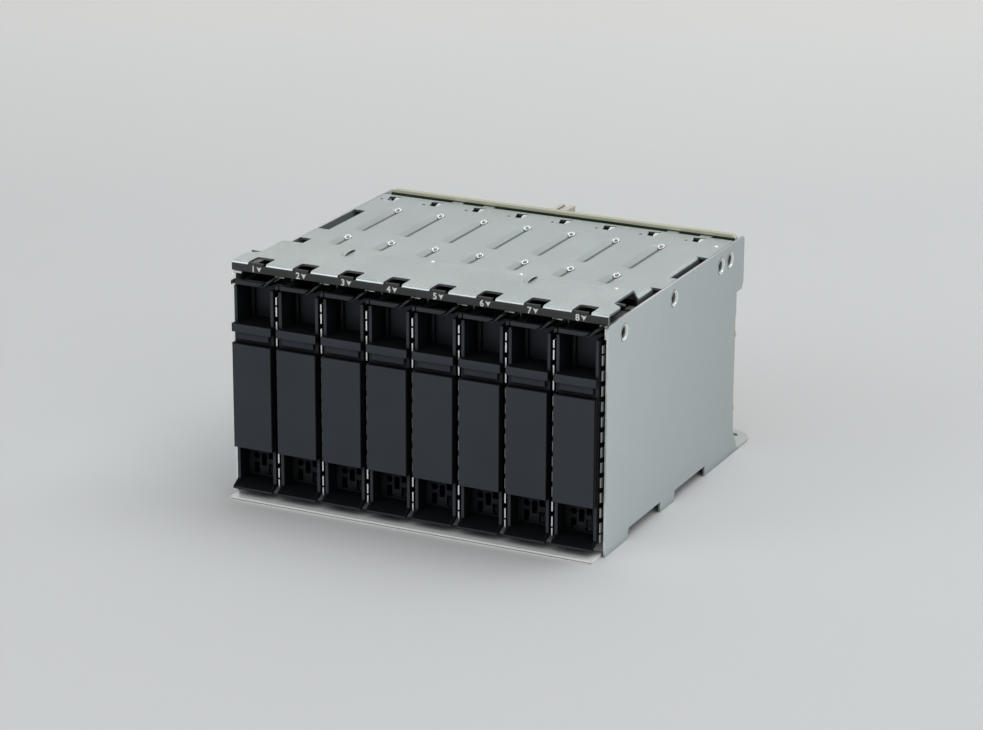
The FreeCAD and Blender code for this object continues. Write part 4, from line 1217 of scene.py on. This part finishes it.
def buildDimples(values):
    radius = values["dimple"]
    dome = spinHead("dimpleHead", [(radius * math.sin(t), 0.4 * radius * math.cos(t) - 0.1 * radius) for t in
                                   spread(0.0, math.pi / 2, 0.26)] + [(0.0, -0.1 * radius)], 16)
    points = [(x, frontY + y, deckTop + rise) for x, y, rise in values["dimples"]]
    # the dimples take the bright rivet steel as painted highlight
    dimples = repeatHead("coverDimples", points, dome, rivetSteel)
    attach(dimples, "cage")


def buildTongues(values):
    # half a drawn dome, open along a curved slit on its right
    bm = bmesh.new()
    reach, rise = values["tongueReach"], values["tongueRise"]
    for x, y in values["tongues"]:
        rows = []
        for i in range(7):
            up = math.pi / 2 * i / 6
            row = []
            for k in range(13):
                turn = math.pi * (0.5 + k / 12)
                flat = reach * math.cos(up)
                across = x + values["tongueWidth"] * flat * math.cos(turn)
                along = frontY + y + flat * math.sin(turn)
                row.append(bm.verts.new((across, along, stripTop + rise * math.sin(up))))
            rows.append(row)
        for near, far in zip(rows, rows[1:]):
            for k in range(12):
                bm.faces.new((near[k], near[k + 1], far[k + 1], far[k]))
    bmesh.ops.remove_doubles(bm, verts=bm.verts, dist=0.01 * mm)
    bmesh.ops.recalc_face_normals(bm, faces=bm.faces)
    tongues = pieceFrom(bm, "coverTongues", [coverZinc])
    thick = tongues.modifiers.new("sheet", "SOLIDIFY")
    thick.thickness = values["tongueSheet"]
    thick.offset = -1
    bakeModifiers(tongues)
    smoothByAngle(tongues, math.radians(50))
    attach(tongues, "cage")


def buildSlotTabs(values):
    # a lanced tab slopes down from the rear of each slot
    bm = bmesh.new()
    width, length = values["slotTab"]
    drop, sink, lap = values["tabDrop"], values["tabSink"], values["tabLap"]
    slot = rearSlotShape
    for x in bayCentres:
        right = x - slot["offset"] + slot["width"] / 2 + lap
        rear = rearEdge - slot["inset"] + slot["length"] / 2
        corners = [(right - width, rear - length, -drop), (right, rear - length, -drop),
                   (right, rear + lap, -sink), (right - width, rear + lap, -sink)]
        top = [bm.verts.new((a, b, deckTop + c)) for a, b, c in corners]
        under = [bm.verts.new((a, b, deckTop + c - values["tabSheet"])) for a, b, c in corners]
        bm.faces.new(top)
        bm.faces.new(under[::-1])
        for k in range(4):
            m = (k + 1) % 4
            bm.faces.new((under[k], under[m], top[m], top[k]))
    # the tabs take the bright rivet steel as painted highlight
    tabs = pieceFrom(bm, "rearSlotTabs", [rivetSteel])
    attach(tabs, "cage")


buildDimples(detailShape)
buildTongues(detailShape)
buildSlotTabs(detailShape)
print("cover details pressed")


# filler blanks and latches: the solids with their moulded corners broken

gripShape = {"rear": -2.8 * mm, "under": 3.2 * mm, "lift": 0.6 * mm}
mouldings = {
    "blank": {"bevel": 0.22 * mm, "slot": "blank_plastic"},
    "blank_latch": {"bevel": 0.2 * mm, "slot": "latch_plastic"},
}


def finishedCopy(node, name, bevel, angle=30):
    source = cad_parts[node]
    bm = bmesh.new()
    bm.from_mesh(source.data)
    bmesh.ops.remove_doubles(bm, verts=bm.verts, dist=0.002 * mm)
    if "latch" in node:
        # the underside of the grip bar is rounded up at its front
        for vert in bm.verts:
            if vert.co.y < frontY + gripShape["rear"] and vert.co.z < deckTop - gripShape["under"]:
                vert.co.z += gripShape["lift"]
    bmesh.ops.dissolve_limit(bm, angle_limit=math.radians(1.0), verts=bm.verts, edges=bm.edges)
    copy = pieceFrom(bm, name, [finishOf(node)])
    soft = copy.modifiers.new("corners", "BEVEL")
    soft.width = bevel
    soft.segments = 2
    soft.limit_method = "ANGLE"
    soft.angle_limit = math.radians(angle)
    soft.harden_normals = False
    bakeModifiers(copy)
    smoothByAngle(copy, math.radians(40))
    return copy


def buildMouldings():
    for kind, values in mouldings.items():
        for bay in bayNumbers:
            node = f"{kind}_{bay}"
            piece = finishedCopy(node, f"{kind}Moulding_{bay}", values["bevel"])
            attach(piece, f"filler_{bay}" if kind == "blank" else f"latch_{bay}")
            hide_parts(node)
    print("blanks and latches finished")


buildMouldings()


# studio: a sheet that runs back from the bench and sweeps up into a wall painted paler as painted light

studio = {"floor": (0.575, 0.592, 0.595), "wall": (0.67, 0.67, 0.655), "behind": 0.34, "sweep": 0.30,
          "rise": 3.0, "front": 4.0, "width": 6.0}


def studioMaterial(values):
    material, tree, shader, place = startMaterial("studioSheet")
    parts = tree.nodes.new("ShaderNodeSeparateXYZ")
    tree.links.new(place, parts.inputs[0])
    lift = tree.nodes.new("ShaderNodeMapRange")
    lift.inputs["From Min"].default_value = 0.0
    lift.inputs["From Max"].default_value = 0.08
    tree.links.new(parts.outputs["Z"], lift.inputs["Value"])
    cloud = noiseNode(tree, place, 5.0, 2, 0.5)
    # painted light: the rise of the sheet is paler than the floor
    color = mixColor(tree, lift.outputs["Result"], values["floor"], values["wall"])
    shade = mathNode(tree, "MULTIPLY_ADD", cloud, 0.05)
    shade.node.inputs[2].default_value = 0.0
    color = mixColor(tree, shade, color, (0.30, 0.31, 0.31))
    tree.links.new(color, shader.inputs["Base Color"])
    shader.inputs["Roughness"].default_value = 0.8
    shader.inputs["Specular IOR Level"].default_value = 0.2
    # seen from behind, the wall of the studio lets the object show through
    geometry = tree.nodes.new("ShaderNodeNewGeometry")
    clear = tree.nodes.new("ShaderNodeBsdfTransparent")
    mix = tree.nodes.new("ShaderNodeMixShader")
    tree.links.new(geometry.outputs["Backfacing"], mix.inputs["Fac"])
    tree.links.new(shader.outputs["BSDF"], mix.inputs[1])
    tree.links.new(clear.outputs["BSDF"], mix.inputs[2])
    tree.links.new(mix.outputs["Shader"], tree.nodes["Material Output"].inputs["Surface"])
    return material


def buildStudio(values):
    yaw = camera["yaw"]
    back = Vector((-math.sin(yaw), math.cos(yaw), 0))
    across = Vector((math.cos(yaw), math.sin(yaw), 0))
    path = [(-values["front"], 0.0), (values["behind"], 0.0)]
    for k in range(1, 17):
        turn = math.pi / 2 * k / 16
        along = values["behind"] + values["sweep"] * math.sin(turn)
        path.append((along, values["sweep"] * (1 - math.cos(turn))))
    path.append((path[-1][0], values["rise"]))
    bm = bmesh.new()
    rows = []
    for along, height in path:
        middle = back * along + Vector((0, 0, height))
        rows.append([bm.verts.new(middle + across * side * values["width"]) for side in (-1, 1)])
    for near, far in zip(rows, rows[1:]):
        bm.faces.new((near[0], near[1], far[1], far[0]))
    sheetObj = pieceFrom(bm, "studioSheet", [studioMaterial(values)])
    for polygon in sheetObj.data.polygons:
        polygon.use_smooth = True
    sheetObj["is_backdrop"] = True


buildStudio(studio)

low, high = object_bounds()
